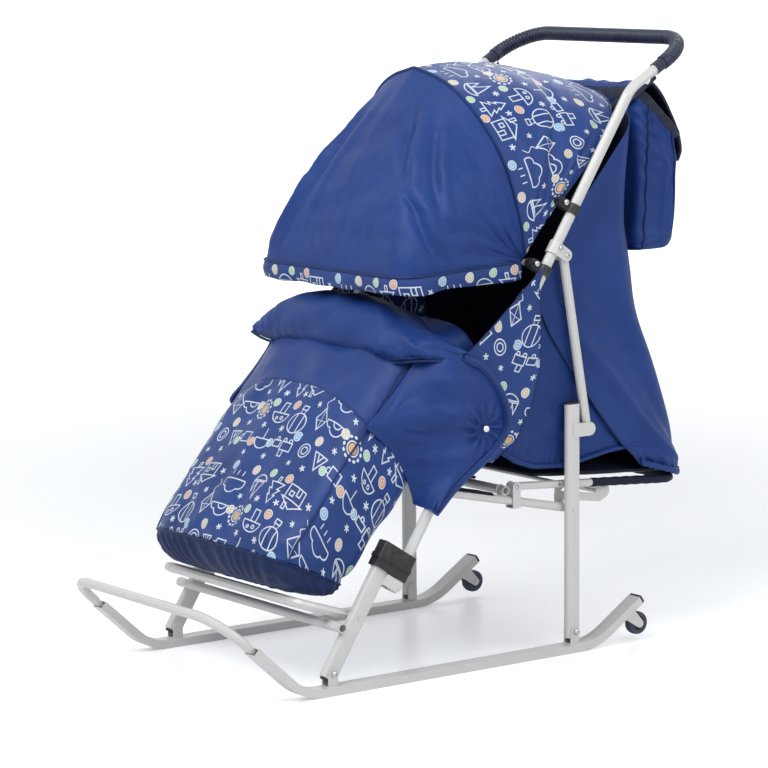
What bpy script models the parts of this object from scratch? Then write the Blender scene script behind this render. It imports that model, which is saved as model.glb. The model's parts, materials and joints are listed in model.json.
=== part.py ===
"""Folding child sled with a foot muff, a hood and a bag.

Metres, +Z up, forward is -Y and the child's left is +X. The ground is Z = 0, X = 0 is the middle plane,
and Y = 0 is the line through the two rear pivot bolts.
"""

import bmesh
import bpy
from math import atan2, cos, pi, radians, sin
from mathutils import Matrix, Vector

# Driving dimensions: the frame
HALF_TRACK = 0.2395  # middle plane to the plane of the tubes on each side
WHEELBASE = 0.528  # front pivot bolt to rear pivot bolt
LEAN = radians(57.4)  # handle and front legs, from the horizontal
RUNNER_WIDTH = 0.030
RUNNER_HEIGHT = 0.015
RUNNER_FRONT_RADIUS = 0.100
RUNNER_FRONT_ANGLE = radians(42)
RUNNER_FRONT_FLAT = 0.020  # flat stretch ahead of the front bolt
RUNNER_FRONT_RISE_LENGTH = 0.095
RUNNER_REAR_RADIUS = 0.130
RUNNER_REAR_ANGLE = radians(33)
RUNNER_REAR_FLAT = 0.008
RUNNER_REAR_RISE_LENGTH = 0.086
RUNNER_WALL = 0.0015
BOW_DIAMETER = 0.017
BOW_REACH = 0.085  # runner mouth to the bar of the bow, up the slope
BOW_CORNER = 0.070
BOW_INSERT = 0.020
FLAT_WIDTH = 0.030
FLAT_THICKNESS = 0.015
LEG_CORNER = 0.004
BOLT_RISE = 0.023  # pivot bolts above the runner
PIN_DIAMETER = 0.006
SHEET = 0.002  # bracket sheet
BRACKET_WIDTH = 0.020
KNEE_ALONG = 0.183  # front bolt to knee pivot, along the leg
KNEE_OFFSET = 0.042  # handle axis behind the leg axis
LEG_INTO_SLEEVE = 0.010
SLEEVE_SWING_ROOM = 0.0022  # in front of the leg, so that it can swing out
HANDLE_DIAMETER = 0.019
HANDLE_BEND_ALONG = 0.978  # knee pivot to the bend, along the handle
HANDLE_BEND_RADIUS = 0.070
HANDLE_TOP_ANGLE = radians(30)
HANDLE_TOP_LENGTH = 0.170
HANDLE_CORNER = 0.075
GRIP_DIAMETER = 0.027
GRIP_RIBS = 22
SLEEVE_LENGTH = 0.046
SLEEVE_START = 0.012  # knee pivot to the sleeve
SLEEVE_WALL = 0.003
SEAT_TUBE_DIAMETER = 0.016
SEAT_ALONG = 0.179  # knee pivot to the front end of the seat tube
SEAT_PIVOT_RISE = 0.2195  # rear bolt to the seat pivot on the post
POST_HEIGHT = 0.407  # rear bolt to the top of the post
POST_CAP = 0.003
BRACE_DIAMETER = 0.017
BRACE_LUG_RISE = 0.3605
BRACE_LUG_OFFSET = 0.034
BRACE_LUG_HEIGHT = 0.024
LUG_SHEET = 0.0016
BRACE_TOP_ALONG = 0.656
BRACE_TOP_OFFSET = 0.0235
FOOT_TUBE_DIAMETER = 0.017
FOOT_TUBE_WALL = 0.0015
FOOT_CROSS_ALONG = 0.0735
FOOT_PIVOT_ALONG = 0.1035
FOOT_ARM_X = 0.2150
FOOTREST_REACH = 0.103
FOOTREST_TILT = radians(18)
FOOTREST_CORNER = 0.035
WHEEL_DIAMETER = 0.042
WHEEL_WIDTH = 0.018
WHEEL_AXLE = (0.151, 0.032)
AXLE_DIAMETER = 0.006
HUB_DIAMETER = 0.024

# Driving dimensions: the reclining back
RECLINE_FORWARD = 0.118  # recline pivot ahead of the rear bolts
RECLINE_RISE = 0.026  # recline pivot above the seat tube
BACK_TUBE_DIAMETER = 0.0142
BACK_LENGTH = 0.390
BACK_CORNER = 0.050
BACK_SLOPE = radians(-3.9)
CROSS_TUBE_AHEAD = 0.026
STRUT_LENGTH = 0.100  # also recline pivot to strut pivot, so that the rod runs straight along the slot
STRUT_REST = radians(5)  # back above the slot, and slot above the strut
STRUT_DIAMETER = 0.006
ROD_THICKNESS = 0.007
RECLINE_RANGE = radians(48)
COMB_THICKNESS = 0.0024
COMB_REAR = 0.031  # plate behind the resting rod
COMB_HEIGHT = 0.038
COMB_ROOM = 0.0004
COMB_NOTCHES = (0.35, 0.70)
COMB_NOTCH_DEPTH = 0.007
BRACKET_SHEET = 0.0016

# Driving dimensions: the hood
CLIP_WALL = 0.003
CLIP_LENGTH = 0.018
CLIP_EAR_RADIUS = 0.009
CLIP_STUD_OFFSET = 0.0285
LOWER_CLIP_ALONG = 0.611
UPPER_CLIP_ALONG = 0.733
ROD_DIAMETER = 0.005
STUD_DIAMETER = 0.005
EYE_DIAMETER = 0.012
EYE_THICKNESS = 0.0044
CLOTH = 0.0025
FRONT_BOW_ANGLE = radians(183)  # from straight back, over the top
FRONT_BOW_REACH = 0.262
FRONT_BOW_CORNER = 0.050
MID_BOW_ANGLE = radians(103)
MID_BOW_REACH = 0.337
MID_BOW_CORNER = 0.208
REAR_BOW_ANGLE = radians(43)
REAR_BOW_REACH = 0.262
REAR_BOW_CORNER = 0.140
VALANCE_DROP = 0.026

# Driving dimensions: the soft pieces
MUFF_WALL = 0.008
FLAP_WALL = 0.008
WING_CLOTH = 0.0025
LOOP_WALL = 0.0050
CURTAIN_CLOTH = 0.0025
PAD_THICKNESS = 0.026
SLING_CLOTH = 0.0016
BAG_HALF_WIDTH = 0.185
BAG_WALL = 0.004
BAG_FLAP = 0.003

# Clearances
GAP = 0.0004
PIN_GAP = 0.00015

LEAN_UP = Vector((cos(LEAN), sin(LEAN)))
LEAN_FORWARD = Vector((-sin(LEAN), cos(LEAN)))

# Pivots, as (y, z) in the side view
BOLT_HEIGHT = RUNNER_HEIGHT + BOLT_RISE
REAR_BOLT = Vector((0.0, BOLT_HEIGHT))
FRONT_BOLT = Vector((-WHEELBASE, BOLT_HEIGHT))
KNEE = FRONT_BOLT + KNEE_ALONG * LEAN_UP - KNEE_OFFSET * LEAN_FORWARD
SEAT_FRONT = KNEE + SEAT_ALONG * LEAN_UP
SEAT_REAR = REAR_BOLT + Vector((0.0, SEAT_PIVOT_RISE))
BRACE_FOOT = REAR_BOLT + Vector((BRACE_LUG_OFFSET, BRACE_LUG_RISE))
BRACE_TOP = KNEE + BRACE_TOP_ALONG * LEAN_UP - BRACE_TOP_OFFSET * LEAN_FORWARD
LOWER_STUD = KNEE + LOWER_CLIP_ALONG * LEAN_UP + CLIP_STUD_OFFSET * LEAN_FORWARD
UPPER_STUD = KNEE + UPPER_CLIP_ALONG * LEAN_UP + CLIP_STUD_OFFSET * LEAN_FORWARD

# Layers across the sled, from the tubes' plane towards the middle
HANDLE_RADIUS = HANDLE_DIAMETER / 2
HANDLE_INNER = HALF_TRACK - HANDLE_RADIUS
HANDLE_OUTER = HALF_TRACK + HANDLE_RADIUS
SEAT_TUBE_X = HANDLE_INNER - GAP - SEAT_TUBE_DIAMETER / 2
COMB_OUTER = SEAT_TUBE_X - SEAT_TUBE_DIAMETER / 2 - GAP
COMB_INNER = COMB_OUTER - COMB_THICKNESS
STRUT_X = COMB_INNER - 1.5 * GAP - STRUT_DIAMETER / 2
CLIP_INNER = HANDLE_INNER - CLIP_WALL
HOOD_X = CLIP_INNER - GAP - CLOTH / 2
VISOR_X = HOOD_X - CLOTH - 2 * GAP
FRONT_ROD_X = VISOR_X - CLOTH / 2 - GAP - ROD_DIAMETER / 2
MID_ROD_X = FRONT_ROD_X - EYE_THICKNESS - GAP
WING_X = HANDLE_OUTER + GAP + LOOP_WALL - WING_CLOTH / 2
FLAP_X = WING_X + WING_CLOTH / 2 + GAP + FLAP_WALL / 2
MUFF_HALF_WIDTH = SEAT_TUBE_X - SEAT_TUBE_DIAMETER / 2 - 0.0006 - MUFF_WALL / 2

SIDES = (("left", 1), ("right", -1))


def clear_scene():
    for old in list(bpy.data.objects):
        bpy.data.objects.remove(old, do_unlink=True)


def new_collection(name):
    collection = bpy.data.collections.new(name)
    bpy.context.scene.collection.children.link(collection)
    return collection


clear_scene()
SLED = new_collection("child_sled")
CUTTERS = new_collection("cutters")


def material(name, colour, roughness, metallic=0.0):
    made = bpy.data.materials.new(name)
    made.use_nodes = True
    shader = made.node_tree.nodes["Principled BSDF"]
    shader.inputs["Base Color"].default_value = (*colour, 1)
    shader.inputs["Roughness"].default_value = roughness
    shader.inputs["Metallic"].default_value = metallic
    return made


ENAMEL = material("white_enamel", (0.72, 0.72, 0.74), 0.35)
PLASTIC = material("black_plastic", (0.015, 0.015, 0.02), 0.45)
RUBBER = material("grey_rubber", (0.07, 0.08, 0.12), 0.6)
CLOTH_BLUE = material("blue_nylon", (0.03, 0.08, 0.30), 0.5)
CLOTH_PRINT = material("printed_nylon", (0.05, 0.12, 0.40), 0.5)
CLOTH_NAVY = material("navy_lining", (0.012, 0.016, 0.05), 0.6)


def place(name, data, finish):
    piece = bpy.data.objects.new(name, data)
    SLED.objects.link(piece)
    data.materials.append(finish)
    return piece


# Shapes


def arc_corner(before, corner, after, radius, steps=6):
    """Points of the fillet that rounds a corner of a path, in two or three dimensions."""
    back = (before - corner).normalized()
    on = (after - corner).normalized()
    half = back.angle(on) / 2
    shortest = min((before - corner).length, (after - corner).length)
    reach = min(radius * abs(cos(half) / sin(half)), shortest * 0.98)
    bisector = (back + on).normalized()
    centre = corner + bisector * (reach / cos(half))
    first = corner + back * reach - centre
    last = corner + on * reach - centre
    sweep = first.angle(last)
    points = []
    for i in range(steps + 1):
        share = i / steps
        mixed = (sin((1 - share) * sweep) * first + sin(share * sweep) * last) / sin(sweep)
        points.append(centre + mixed)
    return points


def rounded_path(corners, radii, steps=6):
    """A path through corners, with each inner corner rounded."""
    points = [corners[0]]
    for i in range(1, len(corners) - 1):
        points += arc_corner(corners[i - 1], corners[i], corners[i + 1], radii[i - 1], steps)
    return points + [corners[-1]]


def tube(name, points, diameter, finish, resolution=2):
    """A round tube along a path."""
    curve = bpy.data.curves.new(name, "CURVE")
    curve.dimensions = "3D"
    curve.bevel_depth = diameter / 2
    curve.bevel_resolution = resolution
    curve.use_fill_caps = True
    spline = curve.splines.new("POLY")
    spline.points.add(len(points) - 1)
    for point, place_at in zip(spline.points, points):
        point.co = (*place_at, 1)
    return place(name, curve, finish)


def flat(name, loops, x_from, x_to, finish):
    """An outline in the side view, with any holes, between two planes across the sled."""
    curve = bpy.data.curves.new(name, "CURVE")
    curve.dimensions = "2D"
    curve.fill_mode = "BOTH"
    curve.extrude = abs(x_to - x_from) / 2
    for loop in loops:
        spline = curve.splines.new("POLY")
        spline.use_cyclic_u = True
        spline.points.add(len(loop) - 1)
        for point, (y, z) in zip(spline.points, loop):
            point.co = (y, z, 0, 1)
    piece = place(name, curve, finish)
    side_view = Matrix(((0, 0, 1), (1, 0, 0), (0, 1, 0))).to_4x4()
    piece.matrix_world = Matrix.Translation(((x_from + x_to) / 2, 0, 0)) @ side_view
    return piece


def side_flat(name, loops, near, far, side, finish):
    """flat() on one side of the sled, between two distances from the middle plane."""
    return flat(name, loops, side * near, side * far, finish)


def circle(centre, radius, count=20):
    turns = [2 * pi * i / count for i in range(count)]
    return [(centre[0] + radius * cos(turn), centre[1] + radius * sin(turn)) for turn in turns]


def along(start, end, half_width, round_start=True, round_end=True, steps=6):
    """Outline of a straight strip from start to end, with round or square ends."""
    axis = (end - start).normalized()
    across = Vector((-axis.y, axis.x))
    loop = []
    for point, sign, is_round in ((start, -1, round_start), (end, 1, round_end)):
        if is_round:
            for i in range(steps + 1):
                turn = pi * i / steps
                loop.append(point + sign * (axis * sin(turn) - across * cos(turn)) * half_width)
        else:
            loop += [point - sign * across * half_width, point + sign * across * half_width]
    return loop


def rounded_rectangle(width, height, radius, steps=3):
    loop = []
    for quarter, (sx, sy) in enumerate(((1, 1), (-1, 1), (-1, -1), (1, -1))):
        for i in range(steps + 1):
            turn = (quarter + i / steps) * pi / 2
            x = sx * (width / 2 - radius) + radius * cos(turn)
            y = sy * (height / 2 - radius) + radius * sin(turn)
            loop.append((x, y))
    return loop


def profile_along(name, loops, start, end, x, finish):
    """A section extruded from start to end of the side view: first axis across in that view, second X."""
    curve = bpy.data.curves.new(name, "CURVE")
    curve.dimensions = "2D"
    curve.fill_mode = "BOTH"
    curve.extrude = (end - start).length / 2
    for loop in loops:
        spline = curve.splines.new("POLY")
        spline.use_cyclic_u = True
        spline.points.add(len(loop) - 1)
        for point, (u, v) in zip(spline.points, loop):
            point.co = (u, v, 0, 1)
    piece = place(name, curve, finish)
    axis = (end - start).normalized()
    middle = (start + end) / 2
    turn = Matrix(((0, 1, 0), (-axis.y, 0, axis.x), (axis.x, 0, axis.y))).to_4x4()
    piece.matrix_world = Matrix.Translation((x, middle.x, middle.y)) @ turn
    return piece


def as_mesh(piece):
    """The same object with its curve made a closed mesh."""
    bpy.context.view_layer.update()
    graph = bpy.context.evaluated_depsgraph_get()
    mesh = bpy.data.meshes.new_from_object(piece.evaluated_get(graph))
    shape = bmesh.new()
    shape.from_mesh(mesh)
    bmesh.ops.remove_doubles(shape, verts=shape.verts, dist=0.00001)
    bmesh.ops.recalc_face_normals(shape, faces=shape.faces)
    shape.to_mesh(mesh)
    shape.free()
    name = piece.name
    finish = piece.data.materials[0]
    matrix = piece.matrix_world.copy()
    bpy.data.objects.remove(piece, do_unlink=True)
    made = bpy.data.objects.new(name, mesh)
    made.matrix_world = matrix
    SLED.objects.link(made)
    mesh.materials.clear()
    mesh.materials.append(finish)
    return made


def combine(piece, other, operation):
    """Joins other to piece, or cuts piece with it. The other stays as a hidden helper."""
    if other.type != "MESH":
        other = as_mesh(other)
    SLED.objects.unlink(other)
    CUTTERS.objects.link(other)
    other.hide_render = True
    other.display_type = "WIRE"
    modifier = piece.modifiers.new(other.name, "BOOLEAN")
    modifier.operation = operation
    modifier.solver = "EXACT"
    modifier.object = other


def fused(piece, others):
    piece = as_mesh(piece)
    for other in others:
        combine(piece, other, "UNION")
    return piece


def pin(name, centre, near, far, side, diameter=PIN_DIAMETER, finish=ENAMEL):
    return side_flat(name, [circle(centre, diameter / 2, 12)], near, far, side, finish)


def bolt_heads(name, centre, inner, outer, side, head=0.0008, diameter=0.011):
    """Low bolt heads outside a pair of faces. Each starts inside its sheet."""
    bite = 0.0005
    return [
        pin(f"{name}_inner_head", centre, inner - head, inner + bite, side, diameter),
        pin(f"{name}_outer_head", centre, outer - bite, outer + head, side, diameter),
    ]


def clevis(name, root, pivot, half_width, half_gap, web, side, x=HALF_TRACK, sheet=SHEET, bolt=True):
    """A strap bent into a U: two ears with a bolt, joined by a web at the root."""
    axis = (pivot - root).normalized()
    reach = half_gap + sheet
    outline = along(root, pivot, half_width, round_start=False)
    block = as_mesh(side_flat(name, [outline], x - reach, x + reach, side, ENAMEL))
    spare = half_width + 0.004
    channel = along(root + axis * web, pivot + axis * spare, spare, False, False)
    channel = side_flat(f"{name}_channel", [channel], x - half_gap, x + half_gap, side, ENAMEL)
    combine(block, channel, "DIFFERENCE")
    made = [block] + bolt_heads(name, pivot, x - reach, x + reach, side)
    if bolt:
        made.append(pin(f"{name}_bolt", pivot, x - reach + 0.0004, x + reach - 0.0004, side))
    return made


def drill(piece, centre, side, diameter=PIN_DIAMETER + 2 * PIN_GAP, near=0.15, far=0.30):
    name = f"{piece.name}_drill_{len(piece.modifiers)}"
    combine(piece, pin(name, centre, near, far, side, diameter), "DIFFERENCE")


def smooth(piece, angle=35):
    for polygon in piece.data.polygons:
        polygon.use_smooth = True
    piece.data.set_sharp_from_angle(angle=radians(angle))


def skin(name, rings, finish, closed_ring, capped):
    """A loft through rings with equal counts of points."""
    shape = bmesh.new()
    rows = [[shape.verts.new(point) for point in ring] for ring in rings]
    count = len(rows[0])
    for first, second in zip(rows, rows[1:]):
        for i in range(count if closed_ring else count - 1):
            j = (i + 1) % count
            shape.faces.new((first[i], first[j], second[j], second[i]))
    if capped:
        shape.faces.new(reversed(rows[0]))
        shape.faces.new(rows[-1])
    bmesh.ops.recalc_face_normals(shape, faces=shape.faces)
    mesh = bpy.data.meshes.new(name)
    shape.to_mesh(mesh)
    shape.free()
    return place(name, mesh, finish)


def thicken(piece, thickness, offset):
    modifier = piece.modifiers.new("cloth", "SOLIDIFY")
    modifier.thickness = thickness
    modifier.offset = offset
    modifier.use_rim = True


def cushion(name, low, high, crown, finish, tilt=0.0, pivot=(0.0, 0.0)):
    """A crowned pad: a box cage with its middle raised and its sides drawn in, subdivided."""
    shape = bmesh.new()
    bmesh.ops.create_grid(shape, x_segments=6, y_segments=6, size=0.5)
    made = bmesh.ops.extrude_face_region(shape, geom=shape.faces[:])
    for item in made["geom"]:
        if isinstance(item, bmesh.types.BMVert):
            item.co.z = 1.0
    bmesh.ops.recalc_face_normals(shape, faces=shape.faces)
    size = Vector(high) - Vector(low)
    for vert in shape.verts:
        # The rows inside the border are pushed out to it, so that only the edges are rounded.
        u, v = (share * 1.40 if abs(share) < 0.4 else share for share in vert.co.xy)
        top = vert.co.z
        swell = (1 - (2 * u) ** 2) * (1 - (2 * v) ** 2)
        height = size.z * (0.72 * top) + crown * swell * top
        pull = 1 - 0.05 * (1 - swell) * abs(u * v) * 8
        y = low[1] + size.y * (0.5 + v * pull)
        z = low[2] + height
        dy, dz = y - pivot[0], z - pivot[1]
        vert.co = (
            low[0] + size.x * (0.5 + u * pull),
            pivot[0] + dy * cos(tilt) - dz * sin(tilt),
            pivot[1] + dy * sin(tilt) + dz * cos(tilt),
        )
    mesh = bpy.data.meshes.new(name)
    shape.to_mesh(mesh)
    shape.free()
    pad = place(name, mesh, finish)
    subdivision = pad.modifiers.new("crown", "SUBSURF")
    subdivision.levels = 1
    subdivision.render_levels = 1
    for polygon in mesh.polygons:
        polygon.use_smooth = True
    return pad


# Runners, bow and wheels


def runner_line():
    """Centre line of a runner in the side view, front end first."""
    half = RUNNER_HEIGHT / 2
    front_arc = Vector((FRONT_BOLT.x - RUNNER_FRONT_FLAT, half + RUNNER_FRONT_RADIUS))
    rear_arc = Vector((RUNNER_REAR_FLAT, half + RUNNER_REAR_RADIUS))
    steps = 6
    front = []
    for i in range(steps + 1):
        turn = RUNNER_FRONT_ANGLE * (1 - i / steps)
        front.append(front_arc + RUNNER_FRONT_RADIUS * Vector((-sin(turn), -cos(turn))))
    rear = []
    for i in range(steps + 1):
        turn = RUNNER_REAR_ANGLE * i / steps
        rear.append(rear_arc + RUNNER_REAR_RADIUS * Vector((sin(turn), -cos(turn))))
    front_way = Vector((-cos(RUNNER_FRONT_ANGLE), sin(RUNNER_FRONT_ANGLE)))
    rear_way = Vector((cos(RUNNER_REAR_ANGLE), sin(RUNNER_REAR_ANGLE)))
    start = front[0] + RUNNER_FRONT_RISE_LENGTH * front_way
    end = rear[-1] + RUNNER_REAR_RISE_LENGTH * rear_way
    return [start] + front + rear + [end], front_way, rear_way


RUNNER_LINE, RUNNER_FRONT_WAY, RUNNER_REAR_WAY = runner_line()
RUNNER_MOUTH = RUNNER_LINE[0]
RUNNER_TAIL = RUNNER_LINE[-1]


def band(points, half):
    """Outline of a strip of constant width along a path in the side view."""
    upper, lower = [], []
    for i, point in enumerate(points):
        before = points[max(i - 1, 0)]
        after = points[min(i + 1, len(points) - 1)]
        way = (after - before).normalized()
        across = Vector((-way.y, way.x))
        upper.append(point + across * half)
        lower.append(point - across * half)
    return upper + lower[::-1]


def make_runners():
    half_gap = FLAT_THICKNESS / 2 + GAP
    overlap = 0.001
    for side_name, side in SIDES:
        near, far = HALF_TRACK - RUNNER_WIDTH / 2, HALF_TRACK + RUNNER_WIDTH / 2
        outline = [tuple(point) for point in band(RUNNER_LINE, RUNNER_HEIGHT / 2)]
        body = side_flat(f"runner_{side_name}", [outline], near, far, side, ENAMEL)
        joined = []
        for place_name, pivot in (("front", FRONT_BOLT), ("rear", REAR_BOLT)):
            foot = Vector((pivot.x, RUNNER_HEIGHT - overlap))
            name = f"{place_name}_bracket_{side_name}"
            joined += clevis(name, foot, pivot, BRACKET_WIDTH / 2, half_gap, SHEET + overlap, side)
        joined += wheel_fork(side_name, side)
        runner = fused(body, joined)
        inside = RUNNER_MOUTH - RUNNER_FRONT_WAY * (BOW_INSERT + GAP)
        outside = RUNNER_MOUTH + RUNNER_FRONT_WAY * 0.01
        hollow = along(inside, outside, RUNNER_HEIGHT / 2 - RUNNER_WALL, False, False)
        name = f"runner_mouth_{side_name}"
        mouth = side_flat(name, [hollow], near + RUNNER_WALL, far - RUNNER_WALL, side, ENAMEL)
        combine(runner, mouth, "DIFFERENCE")


def wheel_fork(side_name, side):
    """Two tapered ears under the tail of the runner, with the axle between them."""
    axle = Vector(WHEEL_AXLE)
    half_gap = WHEEL_WIDTH / 2 + 2 * GAP
    root = RUNNER_TAIL - RUNNER_REAR_WAY * 0.034
    down = Vector((RUNNER_REAR_WAY.y, -RUNNER_REAR_WAY.x))
    base = root + down * (RUNNER_HEIGHT / 2 - 0.002)
    pieces = []
    tip_radius, root_half = 0.008, 0.013
    turns = [radians(angle) for angle in range(-40, 111, 25)]
    tip = [axle + tip_radius * Vector((sin(turn), -cos(turn))) for turn in turns]
    outline = [base - RUNNER_REAR_WAY * root_half] + tip + [base + RUNNER_REAR_WAY * root_half]
    for ear_name, near in (("outer", HALF_TRACK + half_gap), ("inner", HALF_TRACK - half_gap - SHEET)):
        name = f"wheel_fork_{ear_name}_{side_name}"
        pieces.append(side_flat(name, [[tuple(p) for p in outline]], near, near + SHEET, side, ENAMEL))
    reach = half_gap + SHEET
    pieces += bolt_heads(f"axle_{side_name}", axle, HALF_TRACK - reach, HALF_TRACK + reach, side, 0.0015)
    near, far = HALF_TRACK - reach + 0.0004, HALF_TRACK + reach - 0.0004
    pieces.append(pin(f"axle_{side_name}", axle, near, far, side, AXLE_DIAMETER))
    return pieces


def make_end_caps():
    depth = 0.004
    start = RUNNER_TAIL + RUNNER_REAR_WAY * GAP
    for side_name, side in SIDES:
        section = rounded_rectangle(RUNNER_HEIGHT, RUNNER_WIDTH, 0.002, 2)
        end = start + RUNNER_REAR_WAY * depth
        profile_along(f"runner_end_cap_{side_name}", [section], start, end, side * HALF_TRACK, PLASTIC)


def make_front_bow():
    """The bar across the front, bent from one tube that goes into both runner mouths."""
    inside = RUNNER_MOUTH - RUNNER_FRONT_WAY * BOW_INSERT
    ahead = RUNNER_MOUTH + RUNNER_FRONT_WAY * BOW_REACH
    corners = [
        Vector((HALF_TRACK, *inside)),
        Vector((HALF_TRACK, *ahead)),
        Vector((-HALF_TRACK, *ahead)),
        Vector((-HALF_TRACK, *inside)),
    ]
    bow = tube("front_bow", rounded_path(corners, [BOW_CORNER, BOW_CORNER], 7), BOW_DIAMETER, ENAMEL, 3)
    # The ends are swaged down to fit the runners' mouths.
    spline = bow.data.splines[0]
    swaged = (RUNNER_HEIGHT / 2 - RUNNER_WALL - GAP) / (BOW_DIAMETER / 2)
    mouth = BOW_INSERT + 0.002
    path = [Vector(point.co[:3]) for point in spline.points]
    way = (path[1] - path[0]).normalized()
    back = (path[-2] - path[-1]).normalized()
    path = [path[0], path[0] + way * mouth, path[0] + way * (mouth + 0.010)] + path[1:-1] + [
        path[-1] + back * (mouth + 0.010), path[-1] + back * mouth, path[-1],
    ]
    spline.points.add(4)
    for i, (point, co) in enumerate(zip(spline.points, path)):
        point.co = (*co, 1)
        point.radius = swaged if i in (0, 1, len(path) - 2, len(path) - 1) else 1.0


def wheel_profile():
    """Section of a wheel, as (radius, distance along the axle)."""
    half = WHEEL_WIDTH / 2
    radius = WHEEL_DIAMETER / 2
    hub = HUB_DIAMETER / 2
    bore = AXLE_DIAMETER / 2 + PIN_GAP
    shoulder = 0.003
    return [
        (bore, half), (hub, half), (hub, half - 0.0015), (radius - shoulder, half - 0.0015),
        (radius, half - 0.0015 - shoulder), (radius, -half + 0.0015 + shoulder), (radius - shoulder, -half + 0.0015),
        (hub, -half + 0.0015), (hub, -half), (bore, -half),
    ]


def make_wheels():
    for side_name, side in SIDES:
        shape = bmesh.new()
        section = [shape.verts.new((r, 0, t)) for r, t in wheel_profile()]
        for first, second in zip(section, section[1:] + section[:1]):
            shape.edges.new((first, second))
        mesh = bpy.data.meshes.new(f"wheel_{side_name}")
        shape.to_mesh(mesh)
        shape.free()
        wheel = place(f"wheel_{side_name}", mesh, RUBBER)
        turned = wheel.modifiers.new("turned", "SCREW")
        turned.axis = "Z"
        turned.steps = 24
        turned.render_steps = 24
        turned.use_merge_vertices = True
        turned.merge_threshold = 0.00001
        place_on_axle = Matrix.Translation((side * HALF_TRACK, *WHEEL_AXLE))
        wheel.matrix_world = place_on_axle @ Matrix.Rotation(pi / 2, 4, "Y")


# Front legs and footrest


def leg_point(distance, ahead=0.0):
    return FRONT_BOLT + distance * LEAN_UP + ahead * LEAN_FORWARD


def make_legs():
    below_bolt = 0.012
    top = KNEE_ALONG + SLEEVE_START + LEG_INTO_SLEEVE
    root = leg_point(KNEE_ALONG, -FLAT_WIDTH / 2 + 0.003)
    for side_name, side in SIDES:
        section = rounded_rectangle(FLAT_WIDTH, FLAT_THICKNESS, LEG_CORNER)
        leg = profile_along(
            f"front_leg_{side_name}", [section], leg_point(-below_bolt), leg_point(top), side * HALF_TRACK, ENAMEL
        )
        leg = fused(leg, clevis(f"knee_lug_{side_name}", root, KNEE, 0.010, HANDLE_RADIUS + GAP, 0.005, side))
        drill(leg, FRONT_BOLT, side)
        drill(leg, leg_point(FOOT_PIVOT_ALONG), side)
        plug_start = leg_point(-below_bolt - GAP)
        plug_end = leg_point(-below_bolt - 0.0042)
        plug = rounded_rectangle(FLAT_WIDTH - 0.006, FLAT_THICKNESS - 0.002, 0.003, 2)
        profile_along(f"leg_plug_{side_name}", [plug], plug_start, plug_end, side * HALF_TRACK, PLASTIC)


def make_footrest():
    centre = leg_point(FOOT_CROSS_ALONG, FLAT_WIDTH / 2 + FOOT_TUBE_DIAMETER / 2 + GAP)
    outer, inner = FOOT_TUBE_DIAMETER / 2, FOOT_TUBE_DIAMETER / 2 - FOOT_TUBE_WALL
    reach = HALF_TRACK + FLAT_THICKNESS / 2 + 0.004
    flat("footrest_cross_tube", [circle(centre, outer, 16), circle(centre, inner, 16)], -reach, reach, ENAMEL)
    pivot = leg_point(FOOT_PIVOT_ALONG)
    arm_x = FOOT_ARM_X
    ahead = pivot + FOOTREST_REACH * Vector((-cos(FOOTREST_TILT), sin(FOOTREST_TILT)))
    behind = pivot - 0.010 * Vector((-cos(FOOTREST_TILT), sin(FOOTREST_TILT)))
    corners = [
        Vector((arm_x, *behind)), Vector((arm_x, *ahead)), Vector((-arm_x, *ahead)), Vector((-arm_x, *behind)),
    ]
    loop = tube("footrest_loop", rounded_path(corners, [FOOTREST_CORNER] * 2), FOOT_TUBE_DIAMETER, ENAMEL)
    bolts = []
    for side_name, side in SIDES:
        far = HALF_TRACK + FLAT_THICKNESS / 2 + 0.003
        bolts.append(pin(f"footrest_bolt_{side_name}", pivot, arm_x, far, side))
    fused(loop, bolts)
    return ahead


# Handle, sleeves and braces


def handle_point(distance, ahead=0.0):
    return KNEE + distance * LEAN_UP + ahead * LEAN_FORWARD


HANDLE_BEND = handle_point(HANDLE_BEND_ALONG)
HANDLE_TOP = HANDLE_BEND + HANDLE_TOP_LENGTH * Vector((cos(HANDLE_TOP_ANGLE), sin(HANDLE_TOP_ANGLE)))


def handle_path():
    low = handle_point(-0.010)
    corners = []
    for side in (1, -1):
        row = [Vector((side * HALF_TRACK, *point)) for point in (low, HANDLE_BEND, HANDLE_TOP)]
        corners += row if side == 1 else row[::-1]
    radii = [HANDLE_BEND_RADIUS, HANDLE_CORNER, HANDLE_CORNER, HANDLE_BEND_RADIUS]
    return rounded_path(corners, radii, 6)


def make_handle():
    path = handle_path()
    grip_start, grip_end = 8, len(path) - 9
    handle = as_mesh(tube("handle_tube", path, HANDLE_DIAMETER, ENAMEL, 2))
    for side_name, side in SIDES:
        drill(handle, KNEE, side)
        inner_head = SEAT_TUBE_X - SEAT_TUBE_DIAMETER / 2 - 0.0012
        bolt = pin(f"seat_front_pin_{side_name}", SEAT_FRONT, inner_head, HANDLE_OUTER + 0.0015, side)
        combine(handle, bolt, "UNION")
    smooth(handle)
    grip_path = resample(path[grip_start:grip_end + 1], 2 * GRIP_RIBS + 1)
    grip = tube("handle_grip", grip_path, GRIP_DIAMETER, PLASTIC, 1)
    for i, point in enumerate(grip.data.splines[0].points):
        point.radius = 1.0 if i % 2 else 0.90
    grip = as_mesh(grip)
    core = tube("handle_grip_bore", path, HANDLE_DIAMETER + 2 * GAP, ENAMEL, 2)
    combine(grip, core, "DIFFERENCE")


def resample(path, count):
    """Points at equal steps along a path."""
    lengths = [0.0]
    for first, second in zip(path, path[1:]):
        lengths.append(lengths[-1] + (second - first).length)
    points = []
    for i in range(count):
        goal = lengths[-1] * i / (count - 1)
        k = next(k for k in range(1, len(path)) if lengths[k] >= goal - 1e-9)
        share = (goal - lengths[k - 1]) / (lengths[k] - lengths[k - 1])
        points.append(path[k - 1].lerp(path[k], min(share, 1.0)))
    return points


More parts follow.
